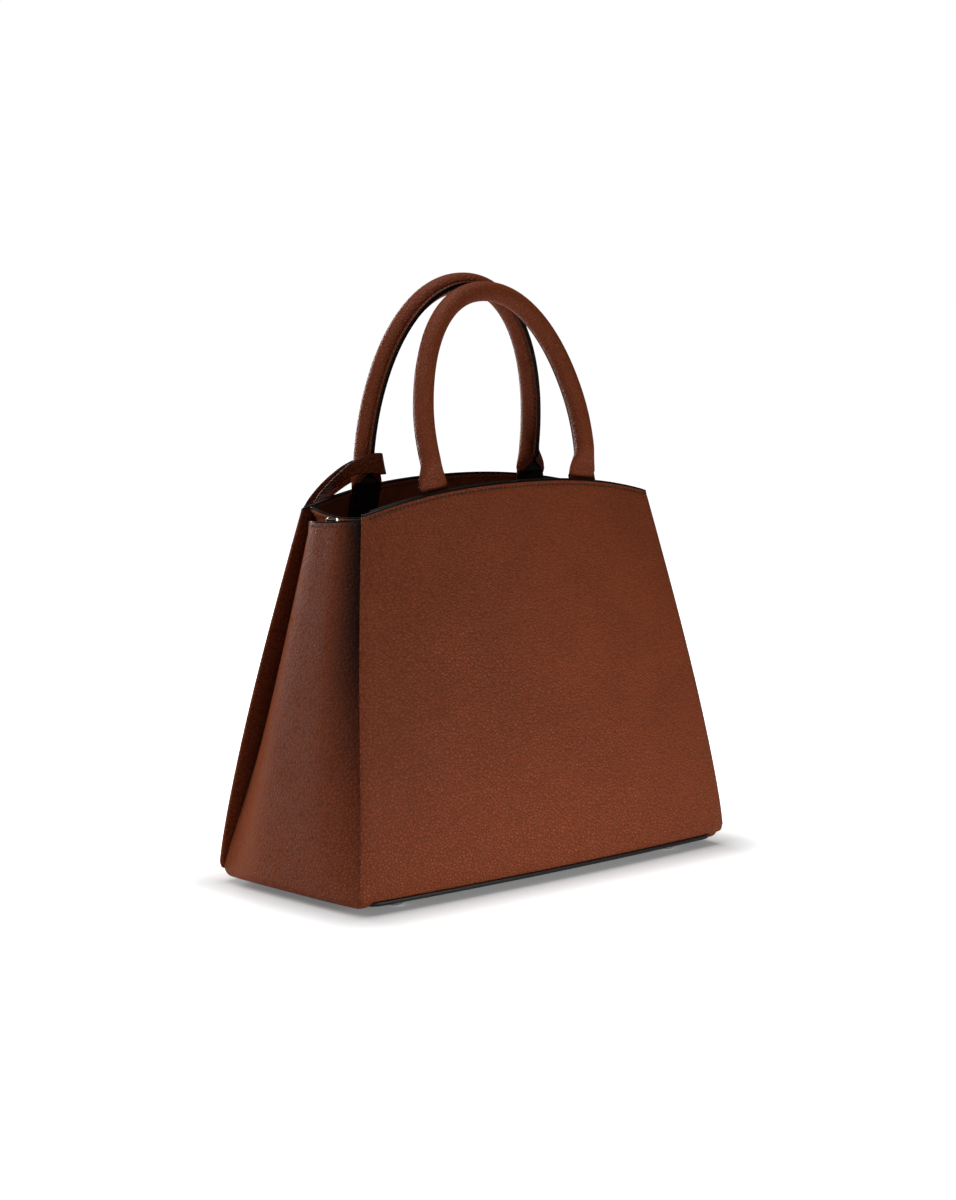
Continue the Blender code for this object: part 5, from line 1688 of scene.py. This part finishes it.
def make_stage():
    """Camera, floor, world and lamps, with colours shown as they are written."""
    look = stage()
    make_camera()
    make_floor()
    make_world(look.world, look.sweep)
    for name, place in LAMPS.items():
        lamp(f"{name}_lamp", *place, getattr(look, name))
    bpy.context.scene.view_settings.view_transform = 'Standard'


class HANDBAG_OT_stage(bpy.types.Operator):
    """Add the camera, the floor and the lamps"""
    bl_idname = "handbag.stage"
    bl_label = "Stage"

    def execute(self, context):
        make_stage()
        make_materials()
        return {'FINISHED'}


class HANDBAG_OT_panels(bpy.types.Operator):
    """Add the front and rear panels with their facings"""
    bl_idname = "handbag.panels"
    bl_label = "Panels"

    def execute(self, context):
        make_panels()
        make_facings()
        return {'FINISHED'}


class HANDBAG_OT_gussets(bpy.types.Operator):
    """Add the gussets, their bands and the strap rings"""
    bl_idname = "handbag.gussets"
    bl_label = "Gussets"

    def execute(self, context):
        make_gussets()
        make_rings()
        return {'FINISHED'}


class HANDBAG_OT_bottom(bpy.types.Operator):
    """Add the bottom panel and its metal feet"""
    bl_idname = "handbag.bottom"
    bl_label = "Bottom"

    def execute(self, context):
        make_bottom()
        make_feet()
        return {'FINISHED'}


class HANDBAG_OT_handles(bpy.types.Operator):
    """Add the rolled handles and the tabs that carry them"""
    bl_idname = "handbag.handles"
    bl_label = "Handles"

    def execute(self, context):
        h = handle()
        for name, side, lean in (("front", -1, h.front_lean), ("rear", 1, h.rear_lean)):
            make_handle(name, side, lean)
            for foot in ("left", "right"):
                make_tab(name, side, lean, foot)
        return {'FINISHED'}


class HANDBAG_OT_tag(bpy.types.Operator):
    """Add the hang tag and its strap"""
    bl_idname = "handbag.tag"
    bl_label = "Tag"

    def execute(self, context):
        make_strap()
        make_tag()
        return {'FINISHED'}


class HANDBAG_OT_inside(bpy.types.Operator):
    """Add the linings, pockets, zip and snap, and dress the solids that stay"""
    bl_idname = "handbag.inside"
    bl_label = "Inside"

    def execute(self, context):
        make_linings()
        make_pockets()
        make_zip()
        make_snap()
        dress_hidden_nodes()
        return {'FINISHED'}


class HANDBAG_PT_sidebar(bpy.types.Panel):
    """Lists the handbag's pieces and sizes"""
    bl_idname = "HANDBAG_PT_sidebar"
    bl_label = "Handbag"
    bl_space_type = 'VIEW_3D'
    bl_region_type = 'UI'
    bl_category = "Handbag"

    def draw(self, context):
        for maker in OPERATORS:
            self.layout.operator(maker.bl_idname)
        for key in GROUPS:
            group = getattr(context.scene, key)
            box = self.layout.box()
            for field in group.bl_rna.properties.keys():
                if field not in ("rna_type", "name"):
                    box.prop(group, field)


GROUPS = {"handbag_body": HandbagBody, "handbag_gusset": HandbagGusset,
          "handbag_handle": HandbagHandle, "handbag_trim": HandbagTrim,
          "handbag_look": HandbagLook, "handbag_stage": HandbagStage}
OPERATORS = (HANDBAG_OT_stage, HANDBAG_OT_panels, HANDBAG_OT_gussets, HANDBAG_OT_bottom,
             HANDBAG_OT_handles, HANDBAG_OT_tag, HANDBAG_OT_inside)


def register():
    for kind in (*GROUPS.values(), *OPERATORS, HANDBAG_PT_sidebar):
        bpy.utils.register_class(kind)
    for key, kind in GROUPS.items():
        setattr(bpy.types.Scene, key, PointerProperty(type=kind))


def unregister():
    for key in GROUPS:
        delattr(bpy.types.Scene, key)
    for kind in (HANDBAG_PT_sidebar, *reversed(OPERATORS), *reversed(GROUPS.values())):
        bpy.utils.unregister_class(kind)


def main():
    register()
    for maker in OPERATORS:
        space, verb = maker.bl_idname.split(".")
        getattr(getattr(bpy.ops, space), verb)()


if __name__ == "__main__":
    main()
